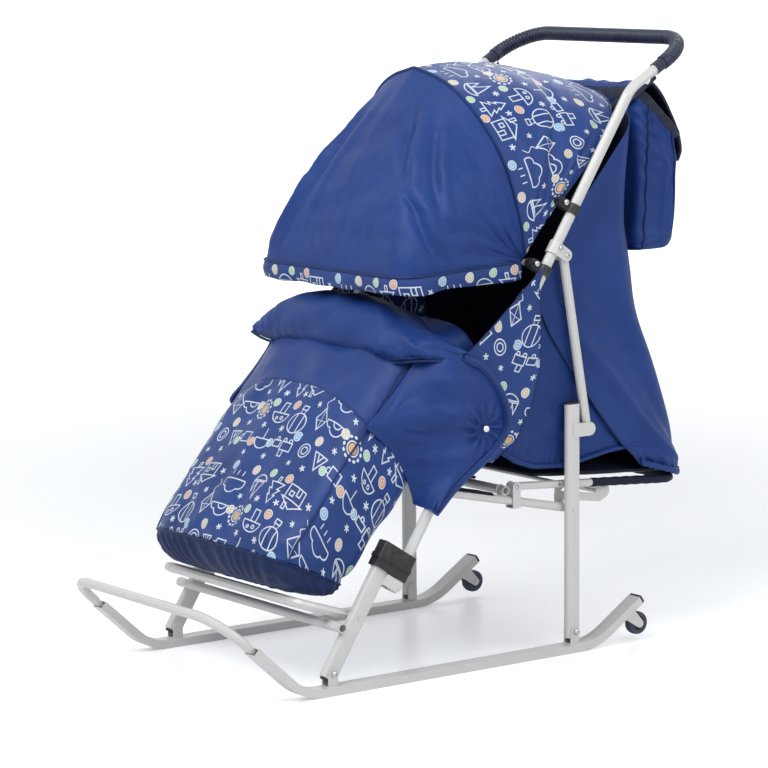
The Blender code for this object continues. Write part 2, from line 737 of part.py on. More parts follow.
def make_sleeves():
    """Locking sleeves round the top of each leg and the handle tube beside it."""
    front = KNEE_OFFSET + FLAT_WIDTH / 2 + SLEEVE_SWING_ROOM + SLEEVE_WALL
    back = HANDLE_RADIUS + GAP + SLEEVE_WALL
    start, end = handle_point(SLEEVE_START), handle_point(SLEEVE_START + SLEEVE_LENGTH)
    middle_ahead = (front - back) / 2
    thickness = HANDLE_DIAMETER + 2 * (GAP + SLEEVE_WALL)
    lift = middle_ahead * LEAN_FORWARD
    for side_name, side in SIDES:
        outer = rounded_rectangle(front + back, thickness, 0.005)
        x = side * HALF_TRACK
        sleeve = profile_along(f"lock_sleeve_{side_name}", [outer], start + lift, end + lift, x, PLASTIC)
        sleeve = as_mesh(sleeve)
        ring = rounded_rectangle(front + back + 0.003, thickness + 0.003, 0.006)
        third = (end - start) / 3
        ring_start, ring_end = start + lift + third, start + lift + 1.5 * third
        ring = profile_along(f"sleeve_ring_{side_name}", [ring], ring_start, ring_end, x, PLASTIC)
        combine(sleeve, ring, "UNION")
        bore = circle((0, 0), HANDLE_RADIUS + GAP, 20)
        spare = 0.01 * LEAN_UP
        bore = profile_along(f"sleeve_bore_{side_name}", [bore], start - spare, end + spare, x, PLASTIC)
        combine(sleeve, bore, "DIFFERENCE")
        slot = rounded_rectangle(FLAT_WIDTH + GAP + SLEEVE_SWING_ROOM, FLAT_THICKNESS + 2 * GAP, LEG_CORNER)
        shift = (KNEE_OFFSET + (SLEEVE_SWING_ROOM - GAP) / 2) * LEAN_FORWARD
        slot_end = start + (LEG_INTO_SLEEVE + 0.002) * LEAN_UP
        slot_start = start - spare + shift
        slot = profile_along(f"sleeve_slot_{side_name}", [slot], slot_start, slot_end + shift, x, PLASTIC)
        combine(sleeve, slot, "DIFFERENCE")


def handle_ring(name, distance, length, wall, side, finish):
    """A ring round the handle tube, as solid stock: handle_bore() opens it."""
    half = length / 2 * LEAN_UP
    centre = handle_point(distance)
    loop = circle((0, 0), HANDLE_RADIUS + GAP + wall, 20)
    return profile_along(name, [loop], centre - half, centre + half, side * HALF_TRACK, finish)


def handle_bore(piece, distance, length, side):
    half = (length / 2 + 0.02) * LEAN_UP
    centre = handle_point(distance)
    loop = circle((0, 0), HANDLE_RADIUS + GAP, 20)
    name = f"{piece.name}_bore_{len(piece.modifiers)}"
    bore = profile_along(name, [loop], centre - half, centre + half, side * HALF_TRACK, ENAMEL)
    combine(piece, bore, "DIFFERENCE")


def make_brace_clamps():
    """Sheet straps round the handle tube, with two ears behind it that hold the brace."""
    wrap = HANDLE_RADIUS + GAP
    half_length = 0.0115
    for side_name, side in SIDES:
        name = f"brace_clamp_{side_name}"
        stock = handle_ring(name, BRACE_TOP_ALONG, 2 * half_length, SHEET + GAP, side, ENAMEL)
        root = handle_point(BRACE_TOP_ALONG)
        half_width, web = half_length - 0.0006, wrap + SHEET / 2
        ears = clevis(f"brace_ears_{side_name}", root, BRACE_TOP, half_width, wrap, web, side)
        clamp = fused(stock, ears)
        handle_bore(clamp, BRACE_TOP_ALONG, 2 * half_length, side)


def make_braces():
    axis = (BRACE_TOP - BRACE_FOOT).normalized()
    end_room = 0.006
    foot, top = BRACE_FOOT - axis * end_room, BRACE_TOP + axis * end_room
    for side_name, side in SIDES:
        points = [Vector((side * HALF_TRACK, *foot)), Vector((side * HALF_TRACK, *top))]
        brace = as_mesh(tube(f"brace_{side_name}", points, BRACE_DIAMETER, ENAMEL, 3))
        drill(brace, BRACE_TOP, side)
        smooth(brace)


# Rear posts and seat frame


def make_posts():
    bottom = REAR_BOLT - Vector((0.0, 0.012))
    top = REAR_BOLT + Vector((0.0, POST_HEIGHT))
    section = rounded_rectangle(FLAT_WIDTH, FLAT_THICKNESS, FLAT_THICKNESS / 2 - 0.0005, 4)
    half_gap = max(FLAT_THICKNESS, BRACE_DIAMETER) / 2 + GAP
    for side_name, side in SIDES:
        x = side * HALF_TRACK
        post = profile_along(f"rear_post_{side_name}", [section], bottom, top, x, ENAMEL)
        start = Vector((-0.004, BRACE_FOOT.y))
        # The inner face has no bolt head, because the back's tube passes close to it.
        name = f"brace_lug_{side_name}"
        lug, inner_head, outer_head = clevis(
            name, start, BRACE_FOOT, BRACE_LUG_HEIGHT / 2, half_gap, 0.021, side, sheet=LUG_SHEET, bolt=False
        )
        bpy.data.objects.remove(inner_head, do_unlink=True)
        joined = [lug, outer_head]
        outer = HALF_TRACK + FLAT_THICKNESS / 2
        joined.append(pin(f"seat_bolt_head_{side_name}", SEAT_REAR, outer - 0.001, outer + 0.002, side, 0.011))
        post = fused(post, joined)
        drill(post, REAR_BOLT, side)
        lift = Vector((0.0, GAP))
        cap_end = top + lift + Vector((0.0, POST_CAP))
        profile_along(f"post_cap_{side_name}", [section], top + lift, cap_end, x, PLASTIC)
        plug = rounded_rectangle(FLAT_WIDTH - 0.010, FLAT_THICKNESS - 0.002, 0.003, 2)
        plug_end = bottom - Vector((0.0, 0.0045))
        profile_along(f"post_plug_{side_name}", [plug], plug_end, bottom - lift, x, PLASTIC)


SEAT_WAY = (SEAT_REAR - SEAT_FRONT).normalized()
SEAT_NORMAL = Vector((-SEAT_WAY.y, SEAT_WAY.x))


def seat_point(y):
    """Point on the seat tube's axis at a given y."""
    return SEAT_FRONT + SEAT_WAY * ((y - SEAT_FRONT.x) / SEAT_WAY.x)


def turned(angle):
    return Vector((cos(angle), sin(angle)))


RECLINE = seat_point(-RECLINE_FORWARD) + Vector((0.0, RECLINE_RISE))
BACK_WAY = turned(BACK_SLOPE)
SLOT_WAY = turned(BACK_SLOPE - STRUT_REST)
SLOT_UP = Vector((-SLOT_WAY.y, SLOT_WAY.x))
STRUT_PIVOT = RECLINE + STRUT_LENGTH * BACK_WAY
STRUT_ROD = RECLINE + 2 * STRUT_LENGTH * cos(STRUT_REST) * SLOT_WAY
CROSS_TUBE = seat_point(-RECLINE_FORWARD - CROSS_TUBE_AHEAD) + SEAT_NORMAL * (SEAT_TUBE_DIAMETER + GAP)


def comb_point(distance, height):
    """Point of the comb plate: distance from the recline pivot along the slot, and height above the slot."""
    return RECLINE + distance * SLOT_WAY + height * SLOT_UP


def make_seat_frame():
    inner = SEAT_TUBE_X - SEAT_TUBE_DIAMETER / 2
    for side_name, side in SIDES:
        front = SEAT_FRONT - SEAT_WAY * 0.008
        rear = SEAT_REAR + SEAT_WAY * 0.008
        points = [Vector((side * SEAT_TUBE_X, *front)), Vector((side * SEAT_TUBE_X, *rear))]
        seat_tube = as_mesh(tube(f"seat_tube_{side_name}", points, SEAT_TUBE_DIAMETER, ENAMEL, 3))
        drill(seat_tube, SEAT_FRONT, side)
        drill(seat_tube, SEAT_REAR, side, PIN_DIAMETER + 2 * PIN_GAP, 0.1, SEAT_TUBE_X)
        smooth(seat_tube)
        make_recline_bracket(side_name, side)
        make_comb(side_name, side)
    reach = inner + SEAT_TUBE_DIAMETER
    outer, bore = SEAT_TUBE_DIAMETER / 2, SEAT_TUBE_DIAMETER / 2 - FOOT_TUBE_WALL
    rings = [circle(CROSS_TUBE, outer, 16), circle(CROSS_TUBE, bore, 16)]
    flat("seat_cross_tube", rings, -reach, reach, ENAMEL)


def make_recline_bracket(side_name, side):
    """A strap bent under the seat tube, whose two ears hold the pivot of the back."""
    half_gap = SEAT_TUBE_DIAMETER / 2 + GAP
    half_width = 0.0085
    slope = SEAT_WAY.y / SEAT_WAY.x
    tube_reach = (SEAT_TUBE_DIAMETER / 2 + GAP) / SEAT_WAY.x
    tube_bottom = seat_point(-RECLINE_FORWARD).y - tube_reach + half_width * slope
    low = tube_bottom - BRACKET_SHEET
    root = Vector((RECLINE.x, low))
    name = f"recline_bracket_{side_name}"
    pieces = clevis(name, root, RECLINE, half_width, half_gap, BRACKET_SHEET, side, SEAT_TUBE_X, BRACKET_SHEET)
    reach = half_gap + BRACKET_SHEET
    # The outer head would meet the post when the sled is folded, so the bolt is flush on that side.
    outer_head = next(piece for piece in pieces if piece.name == f"{name}_outer_head")
    pieces.remove(outer_head)
    bpy.data.objects.remove(outer_head, do_unlink=True)
    rivet = seat_point(-RECLINE_FORWARD)
    near, far = SEAT_TUBE_X - reach - 0.0008, SEAT_TUBE_X - half_gap + 0.004
    pieces.append(pin(f"{name}_rivet", rivet, near, far, side, 0.005))
    bracket = pieces.pop(0)
    for piece in pieces:
        combine(bracket, piece, "UNION")
    drill(bpy.data.objects[f"seat_tube_{side_name}"], rivet, side, 0.005 + 2 * PIN_GAP, 0.1, SEAT_TUBE_X)


def make_comb(side_name, side):
    """The plate that the strut's rod slides in, riveted to the seat tube by its front foot."""
    rod_rest = 2 * STRUT_LENGTH * cos(STRUT_REST)
    rod_up = 2 * STRUT_LENGTH * cos(STRUT_REST + RECLINE_RANGE)
    half_slot = ROD_THICKNESS / 2 + COMB_ROOM
    slot_from, slot_to = rod_up - half_slot, rod_rest + half_slot
    front = STRUT_LENGTH * cos(STRUT_REST) + STRUT_DIAMETER / 2 + 3 * COMB_ROOM
    rear, half = rod_rest + COMB_REAR, COMB_HEIGHT / 2
    foot_rivet = seat_point(comb_point(front + 0.0085, 0).x)
    outline = [
        comb_point(front, half * 0.7),
        comb_point(front, -half * 0.7),
        foot_rivet + Vector((-0.0085, 0.004)),
        foot_rivet + Vector((-0.0060, -0.006)),
        foot_rivet + Vector((0.0060, -0.006)),
        foot_rivet + Vector((0.0085, 0.004)),
        comb_point(front + 0.022, -half),
        comb_point(rear - 0.020, -half),
        comb_point(rear - 0.004, -half * 0.45),
        comb_point(rear, 0),
        comb_point(rear - 0.003, half * 0.5),
        comb_point(rear - 0.012, half),
    ]
    slot = [comb_point(slot_from, -half_slot), comb_point(slot_to, -half_slot), comb_point(slot_to, half_slot)]
    for share in sorted(COMB_NOTCHES, reverse=True):
        at = slot_from + share * (slot_to - slot_from)
        slot += [
            comb_point(at + 0.006, half_slot),
            comb_point(at - 0.002, half_slot + COMB_NOTCH_DEPTH),
            comb_point(at - 0.006, half_slot),
        ]
    slot.append(comb_point(slot_from, half_slot))
    plate = side_flat(f"recline_comb_{side_name}", [outline, slot], COMB_INNER, COMB_OUTER, side, ENAMEL)
    rivet = pin(f"comb_rivet_{side_name}", foot_rivet, COMB_INNER - 0.0012, SEAT_TUBE_X - 0.003, side, 0.005)
    fused(plate, [rivet])
    seat_tube = bpy.data.objects[f"seat_tube_{side_name}"]
    drill(seat_tube, foot_rivet, side, 0.005 + 2 * PIN_GAP, 0.1, SEAT_TUBE_X - 0.002)


def make_backrest():
    """The U tube of the back, and the strut that props it on the combs."""
    end = RECLINE + BACK_LENGTH * BACK_WAY
    start = RECLINE - 0.008 * BACK_WAY
    corners = [
        Vector((SEAT_TUBE_X, *start)), Vector((SEAT_TUBE_X, *end)),
        Vector((-SEAT_TUBE_X, *end)), Vector((-SEAT_TUBE_X, *start)),
    ]
    path = rounded_path(corners, [BACK_CORNER] * 2)
    back = as_mesh(tube("backrest_frame", path, BACK_TUBE_DIAMETER, ENAMEL, 2))
    for _, side in SIDES:
        drill(back, RECLINE, side)
        drill(back, STRUT_PIVOT, side, STRUT_DIAMETER + 2 * PIN_GAP)
    smooth(back)
    reach = COMB_OUTER + 0.003
    rod = flat("recline_strut", [circle(STRUT_ROD, ROD_THICKNESS / 2, 16)], -reach, reach, ENAMEL)
    arms = []
    for side_name, side in SIDES:
        corners = [
            Vector((side * SEAT_TUBE_X, *STRUT_PIVOT)),
            Vector((side * STRUT_X, *STRUT_PIVOT)),
            Vector((side * STRUT_X, *STRUT_ROD)),
        ]
        path = rounded_path(corners, [0.004], 3)
        arms.append(tube(f"strut_arm_{side_name}", path, STRUT_DIAMETER, ENAMEL, 2))
    fused(rod, arms)


# Hood


def bow_points(pivot, angle, reach, half_width, corner, steps=6, start=0.0):
    """A U bow that stands out from the line through two pivots, at an angle from straight back."""
    way = Vector((cos(angle), sin(angle)))
    flat_corners = [
        Vector((half_width, start)), Vector((half_width, reach)),
        Vector((-half_width, reach)), Vector((-half_width, start)),
    ]
    return [Vector((x, *(pivot + way * out))) for x, out in rounded_path(flat_corners, [corner, corner], steps)]


def make_clips():
    """Black plastic clips on the handle, with an ear in front and a stud that carries the bows."""
    for level, distance, stud, stud_end in (
        ("lower", LOWER_CLIP_ALONG, LOWER_STUD, MID_ROD_X - EYE_THICKNESS / 2 - 0.001),
        ("upper", UPPER_CLIP_ALONG, UPPER_STUD, FRONT_ROD_X - EYE_THICKNESS / 2 - 0.001),
    ):
        for side_name, side in SIDES:
            name = f"hood_clip_{level}_{side_name}"
            stock = handle_ring(name, distance, CLIP_LENGTH, CLIP_WALL - GAP, side, PLASTIC)
            root = handle_point(distance, HANDLE_RADIUS + 0.001)
            outline = along(root, stud, CLIP_EAR_RADIUS, round_start=False)
            ear = side_flat(f"{name}_ear", [outline], CLIP_INNER + GAP, HALF_TRACK + 0.003, side, PLASTIC)
            post = pin(f"{name}_stud", stud, stud_end, HALF_TRACK + 0.005, side, STUD_DIAMETER, PLASTIC)
            clip = fused(stock, [ear, post])
            handle_bore(clip, distance, CLIP_LENGTH, side)


def make_bow(name, pivot, angle, reach, rod_x, corner):
    """A rod bent into a U, with an eye on each stud."""
    rod = tube(name, bow_points(pivot, angle, reach, rod_x, corner), ROD_DIAMETER, ENAMEL, 1)
    eyes = []
    for side_name, side in SIDES:
        near, far = rod_x - EYE_THICKNESS / 2, rod_x + EYE_THICKNESS / 2
        outline = circle(pivot, EYE_DIAMETER / 2, 14)
        eyes.append(side_flat(f"{name}_eye_{side_name}", [outline], near, far, side, ENAMEL))
    rod = fused(rod, eyes)
    for _, side in SIDES:
        drill(rod, pivot, side, STUD_DIAMETER + 2 * PIN_GAP)


def make_bows():
    make_bow("hood_front_bow", LOWER_STUD, FRONT_BOW_ANGLE, FRONT_BOW_REACH, FRONT_ROD_X, FRONT_BOW_CORNER)
    make_bow("hood_mid_bow", LOWER_STUD, MID_BOW_ANGLE, MID_BOW_REACH, MID_ROD_X, MID_BOW_CORNER)
    make_bow("hood_rear_bow", UPPER_STUD, REAR_BOW_ANGLE, REAR_BOW_REACH, FRONT_ROD_X, REAR_BOW_CORNER)


def mix(a, b, share):
    return a + (b - a) * share


OVER_ROD = ROD_DIAMETER / 2 + GAP + CLOTH / 2


def chord(angle_a, reach_a, angle_b, reach_b, angle):
    """Distance from the pivot to the straight line between two bows' tops."""
    top = reach_a * reach_b * sin(abs(angle_a - angle_b))
    bottom = reach_a * sin(abs(angle_a - angle)) + reach_b * sin(abs(angle - angle_b))
    return top / bottom


def make_visor():
    """Cloth from the front bow to the middle bow, and the valance that hangs from the front bow."""
    rings = []
    rows = 6
    front_reach, mid_reach = FRONT_BOW_REACH + OVER_ROD, MID_BOW_REACH + OVER_ROD
    mid_angle = MID_BOW_ANGLE + radians(1)
    for i in range(rows + 1):
        share = i / rows
        angle = mix(FRONT_BOW_ANGLE, mid_angle, share)
        reach = chord(FRONT_BOW_ANGLE, front_reach, mid_angle, mid_reach, angle) + 0.030 * sin(pi * share)
        corner = mix(FRONT_BOW_CORNER, MID_BOW_CORNER, share)
        rings.append(bow_points(LOWER_STUD, angle, reach, VISOR_X, corner, 5, mix(0.045, 0.020, share)))
    visor = skin("hood_visor", rings, CLOTH_BLUE, False, False)
    thicken(visor, CLOTH, 0.0)
    rings = []
    for drop in (0.0012, VALANCE_DROP):
        pivot = LOWER_STUD - Vector((0.0, drop))
        rings.append(bow_points(pivot, FRONT_BOW_ANGLE, front_reach, VISOR_X, FRONT_BOW_CORNER, 5, 0.05))
    valance = skin("hood_valance", rings, CLOTH_PRINT, False, False)
    thicken(valance, CLOTH, 0.0)


def make_hood():
    """Printed cloth from the middle bow to the rear bow, with an eyelet at each upper stud."""
    rings = []
    rows = 6
    front_apex = LOWER_STUD + (MID_BOW_REACH + OVER_ROD) * turned(MID_BOW_ANGLE - radians(1))
    rear_apex = UPPER_STUD + (REAR_BOW_REACH + OVER_ROD) * turned(REAR_BOW_ANGLE)
    for i in range(rows + 1):
        share = i / rows
        root = LOWER_STUD.lerp(UPPER_STUD, mix(0.12, 0.80, share))
        apex = front_apex.lerp(rear_apex, share) + Vector((0.010, 0.025)) * sin(pi * share)
        way = apex - root
        corner = mix(MID_BOW_CORNER, REAR_BOW_CORNER, share)
        rings.append(bow_points(root, atan2(way.y, way.x), way.length, HOOD_X, corner, 5, 0.018))
    hood = skin("hood_rear_panel", rings, CLOTH_PRINT, False, False)
    thicken(hood, CLOTH, 0.0)
    for _, side in SIDES:
        drill(hood, UPPER_STUD, side, STUD_DIAMETER + 3 * GAP)


# Soft pieces on the seat, given from the front pivot of the seat


def from_seat(y, z):
    return SEAT_FRONT + Vector((y, z))


def oval(bottom, top, half_width, power=3.2, count=20):
    """A closed ring, rounder or squarer with its power, between two points of the side view."""
    centre, half = (bottom + top) / 2, (top - bottom) / 2
    ring = []
    for i in range(count):
        turn = 2 * pi * i / count
        c, s = cos(turn), sin(turn)
        x = half_width * abs(c) ** (2 / power) * (1 if c > 0 else -1)
        point = centre + half * abs(s) ** (2 / power) * (1 if s > 0 else -1)
        ring.append(Vector((x, *point)))
    return ring


MUFF_STATIONS = (
    (from_seat(0.148, 0.056), from_seat(0.020, 0.262), 1.00),
    (from_seat(0.098, 0.040), from_seat(-0.038, 0.225), 1.00),
    (from_seat(0.036, 0.025), from_seat(-0.088, 0.170), 1.00),
    (from_seat(-0.018, 0.002), from_seat(-0.128, 0.120), 0.99),
    (from_seat(-0.053, -0.036), from_seat(-0.178, 0.060), 0.97),
    (from_seat(-0.103, -0.090), from_seat(-0.232, -0.006), 0.94),
    (from_seat(-0.143, -0.132), from_seat(-0.278, -0.060), 0.92),
)
SOLE_STATIONS = (
    (from_seat(-0.152, -0.141), from_seat(-0.289, -0.075), 0.915),
    (from_seat(-0.172, -0.160), from_seat(-0.287, -0.108), 0.88),
    (from_seat(-0.184, -0.168), from_seat(-0.270, -0.136), 0.80),
)


def make_muff():
    rings = [oval(bottom, top, MUFF_HALF_WIDTH * share) for bottom, top, share in MUFF_STATIONS]
    muff = skin("foot_muff", rings, CLOTH_PRINT, True, False)
    thicken(muff, MUFF_WALL, 0.0)
    bottom, top, share = MUFF_STATIONS[-1]
    end_way = Vector((-sin(radians(62)), -cos(radians(62)))) * 0.0015
    first = oval(bottom + end_way, top + end_way, MUFF_HALF_WIDTH * share)
    rings = [first] + [oval(b, t, MUFF_HALF_WIDTH * w) for b, t, w in SOLE_STATIONS]
    sole = skin("muff_sole", rings, CLOTH_NAVY, True, False)
    shape = bmesh.new()
    shape.from_mesh(sole.data)
    shape.verts.ensure_lookup_table()
    shape.faces.new(shape.verts[-len(first):])
    bmesh.ops.recalc_face_normals(shape, faces=shape.faces)
    shape.to_mesh(sole.data)
    shape.free()
    thicken(sole, MUFF_WALL, 0.0)


def make_flap():
    """The padded flap over the opening, with sides that close round the outside of the handle."""
    upper, lower = MUFF_STATIONS[2][1], MUFF_STATIONS[3][1]
    slope = (upper - lower).normalized()
    outward = Vector((-slope.y, slope.x))
    edge = lower.lerp(upper, 0.70) + outward * ((MUFF_WALL + FLAP_WALL) / 2 + 4 * GAP)
    rows = (
        (from_seat(-0.030, -0.030), from_seat(-0.034, 0.140), edge),
        (from_seat(0.075, 0.016), from_seat(0.030, 0.180), from_seat(-0.066, 0.235)),
        (from_seat(0.150, 0.066), from_seat(0.090, 0.205), from_seat(-0.034, 0.292)),
        (from_seat(0.182, 0.110), from_seat(0.104, 0.218), from_seat(-0.020, 0.322)),
    )
    rings = []
    for low, shoulder, top in rows:
        half = []
        for i in range(4):
            half.append(Vector((FLAP_X, *low.lerp(shoulder, i / 4))))
        for i in range(7):
            turn = pi / 2 * i / 6
            half.append(Vector((FLAP_X * cos(turn) ** 0.8 if i < 6 else 0.0, *shoulder.lerp(top, sin(turn)))))
        mirrored = [Vector((-point.x, point.y, point.z)) for point in half[-2::-1]]
        rings.append(half + mirrored)
    flap = skin("muff_flap", rings, CLOTH_BLUE, False, False)
    thicken(flap, FLAP_WALL, 0.0)


def make_seat_pad():
    """A sling between the seat tubes, and the pad between it and the muff."""
    wrap = SEAT_TUBE_DIAMETER / 2 + GAP + SLING_CLOTH / 2
    path = []
    for i in range(9):
        turn = radians(-70) + radians(160) * i / 8
        path.append(Vector((SEAT_TUBE_X + wrap * cos(turn), wrap * sin(turn))))
    path += [Vector((-p.x, p.y)) for p in reversed(path)]
    section = [(p.y, p.x) for p in band(path, SLING_CLOTH / 2)]
    front, rear = seat_point(SEAT_FRONT.x + 0.030), seat_point(CROSS_TUBE.x - 0.014)
    profile_along("seat_sling", [section], front, rear, 0.0, CLOTH_NAVY)
    above = SEAT_NORMAL * (wrap + SLING_CLOTH / 2 + GAP)
    below = MUFF_WALL / 2 + 1.5 * GAP
    outline = [front + above, rear + above, rear + above + Vector((0.012, 0.022))]
    for index in (0, 1, 2):
        bottom = MUFF_STATIONS[index][0]
        outline.append(bottom + Vector((0.0, -below)) + Vector((0.0, -0.0004)))
    outline[3] = outline[3].lerp(outline[4], 0.35)
    flat("seat_pad", [[tuple(point) for point in outline]], -0.15, 0.15, CLOTH_NAVY)


def make_back_pad():
    """A crowned pad on top of the back's tubes."""
    lift = BACK_TUBE_DIAMETER / 2 + GAP
    half_width = SEAT_TUBE_X - 0.001
    low = (-half_width, RECLINE.x + 0.050, RECLINE.y + lift)
    high = (half_width, RECLINE.x + BACK_LENGTH + 0.014, RECLINE.y + lift + PAD_THICKNESS)
    cushion("back_pad", low, high, 0.008, CLOTH_NAVY, BACK_SLOPE, tuple(RECLINE))


# Soft pieces on the handle


# Distance along the handle from the knee, and ahead of it
WING_OUTLINE = (
    (0.585, 0.012), (0.572, -0.030), (0.440, -0.085), (0.390, -0.100), (0.290, -0.098),
    (0.240, -0.088), (0.215, -0.030), (0.235, 0.020), (0.400, 0.028),
)


def make_wings():
    """Printed side cloths outside the handle, each on two loops."""
    loops = (0.300, 0.560)
    for side_name, side in SIDES:
        outline = [tuple(handle_point(distance, ahead)) for distance, ahead in WING_OUTLINE]
        near, far = WING_X - WING_CLOTH / 2, WING_X + WING_CLOTH / 2
        wing = as_mesh(side_flat(f"side_wing_{side_name}", [outline], near, far, side, CLOTH_PRINT))
        for i, distance in enumerate(loops):
            name = f"wing_loop_{side_name}_{i}"
            ring = handle_ring(name, distance, 0.018, LOOP_WALL - 0.0004, side, CLOTH_PRINT)
            combine(wing, ring, "UNION")
            handle_bore(wing, distance, 0.018, side)


CURTAIN_LOOP_ALONG = 0.585
CURTAIN_ROWS = (
    (Vector((0.012, 0.772)), Vector((0.172, 0.955)), 0.0),
    (Vector((-0.034, 0.700)), Vector((0.165, 0.800)), 0.0),
    (Vector((-0.084, 0.640)), Vector((0.172, 0.700)), 0.0),
    (Vector((-0.074, 0.560)), Vector((0.190, 0.610)), 0.0),
    (Vector((-0.060, 0.460)), Vector((0.222, 0.500)), 0.0),
    (Vector((-0.048, 0.390)), Vector((0.262, 0.392)), 0.0),
    (Vector((-0.015, 0.340)), Vector((0.300, 0.330)), 0.0),
    (Vector((0.062, 0.308)), Vector((0.312, 0.290)), 0.0105),
    (Vector((0.075, 0.285)), Vector((0.318, 0.262)), 0.0115),
)


def make_curtain():
    """The cloth that hangs round the back from the hood to a hem below the reclined back."""
    half_width = HALF_TRACK - HANDLE_RADIUS - LOOP_WALL - GAP - CURTAIN_CLOTH / 2
    rings = []
    for start, end, spread in CURTAIN_ROWS:
        way = end - start
        angle = atan2(way.y, way.x)
        rings.append(bow_points(start, angle, way.length, half_width + spread, 0.060, 4))
    sheet = skin("rear_curtain", rings, CLOTH_BLUE, False, False)
    thicken(sheet, CURTAIN_CLOTH, 0.0)
    for side_name, side in SIDES:
        # A loop round the handle, between the wing's upper loop and the lower clip, with a tab to the cloth.
        axis = handle_point(CURTAIN_LOOP_ALONG)
        behind = axis + Vector((0.040, 0.0))
        outline = along(axis, behind, 0.006, False)
        near, far = half_width - 0.0006, half_width + 0.009
        tab = side_flat(f"curtain_tab_{side_name}", [outline], near, far, side, CLOTH_BLUE)
        combine(sheet, tab, "UNION")
        ring = handle_ring(f"curtain_loop_{side_name}", CURTAIN_LOOP_ALONG, 0.012, 0.0016, side, CLOTH_BLUE)
        combine(sheet, ring, "UNION")
        handle_bore(sheet, CURTAIN_LOOP_ALONG, 0.012, side)


# Height, front, rear and share of the full width
BAG_LEVELS = (
    (0.697, 0.204, 0.262, 0.94),
    (0.703, 0.200, 0.270, 1.0),
    (0.800, 0.198, 0.288, 1.0),
    (0.900, 0.200, 0.294, 1.0),
    (0.972, 0.204, 0.292, 1.0),
)
LID_HINGE = Vector((BAG_LEVELS[-1][1], BAG_LEVELS[-1][0] + GAP + BAG_FLAP / 2))


def make_bag():
    """An open bag behind the hood, hung from the handle, and its lid."""
    rings = []
    for z, front, rear, share in BAG_LEVELS:
        depth = rear - front
        middle = (rear + front) / 2
        loop = rounded_rectangle(2 * BAG_HALF_WIDTH * share, depth, 0.018, 3)
        rings.append([Vector((x, middle + y, z)) for x, y in loop])
    bag = skin("handle_bag", rings, CLOTH_BLUE, True, False)
    shape = bmesh.new()
    shape.from_mesh(bag.data)
    shape.verts.ensure_lookup_table()
    shape.faces.new(shape.verts[:len(rings[0])])
    bmesh.ops.recalc_face_normals(shape, faces=shape.faces)
    shape.to_mesh(bag.data)
    shape.free()
    thicken(bag, BAG_WALL, 0.0)
    hang_bag(bag)
    corner = Vector((BAG_LEVELS[-1][2] + 0.0065, LID_HINGE.y))
    path = rounded_path([LID_HINGE, corner, corner + Vector((0.0015, -0.110))], [0.004], 4)
    outline = [tuple(point) for point in band(path, BAG_FLAP / 2)]
    flat("bag_flap", [outline], -BAG_HALF_WIDTH, BAG_HALF_WIDTH, CLOTH_BLUE)


def hang_bag(bag):
    """Two straps from the sides of the bag to loops round the upper part of the handle."""
    way = turned(HANDLE_TOP_ANGLE)
    centre = HANDLE_BEND + 0.075 * way
    for side_name, side in SIDES:
        hook = Vector((side * (BAG_HALF_WIDTH - 0.001), 0.216, 0.955))
        top = Vector((side * (HANDLE_INNER - 0.003), centre.x, centre.y))
        strap = tube(f"bag_strap_{side_name}", [hook, top], 0.007, PLASTIC, 1)
        combine(bag, strap, "UNION")
        loop = circle((0, 0), HANDLE_RADIUS + GAP + 0.003, 20)
        start, end = centre - 0.008 * way, centre + 0.008 * way
        loop = profile_along(f"bag_loop_{side_name}", [loop], start, end, side * HALF_TRACK, PLASTIC)
        combine(bag, loop, "UNION")
        bore = circle((0, 0), HANDLE_RADIUS + GAP, 20)
        start, end = centre - 0.03 * way, centre + 0.03 * way
        bore = profile_along(f"bag_bore_{side_name}", [bore], start, end, side * HALF_TRACK, PLASTIC)
        combine(bag, bore, "DIFFERENCE")


# Joints: an empty on each axis, which carries the pieces that turn about it


def both(*names):
    return [f"{name}_{side_name}" for name in names for side_name, _ in SIDES]


def with_helpers(piece):
    """The piece, what its Booleans use, and what theirs use."""
    found = [piece]
    for modifier in piece.modifiers:
        if modifier.type == "BOOLEAN":
            found += with_helpers(modifier.object)
    return found


def joint(name, parent, x, point, pieces):
    """An empty at a pivot, under another one, with the pieces (and their cutters) below it."""
    empty = bpy.data.objects.new(name, None)
    empty.empty_display_size = 0.02
    SLED.objects.link(empty)
    empty.parent = parent
    empty.location = Vector((x, *point)) - (joint.places[parent] if parent else Vector())
    joint.places[empty] = Vector((x, *point))
    for piece_name in pieces:
        for held in with_helpers(bpy.data.objects[piece_name]):
            held.parent = empty
            held.matrix_parent_inverse = Matrix.Translation(-joint.places[empty])
    return empty


joint.places = {}


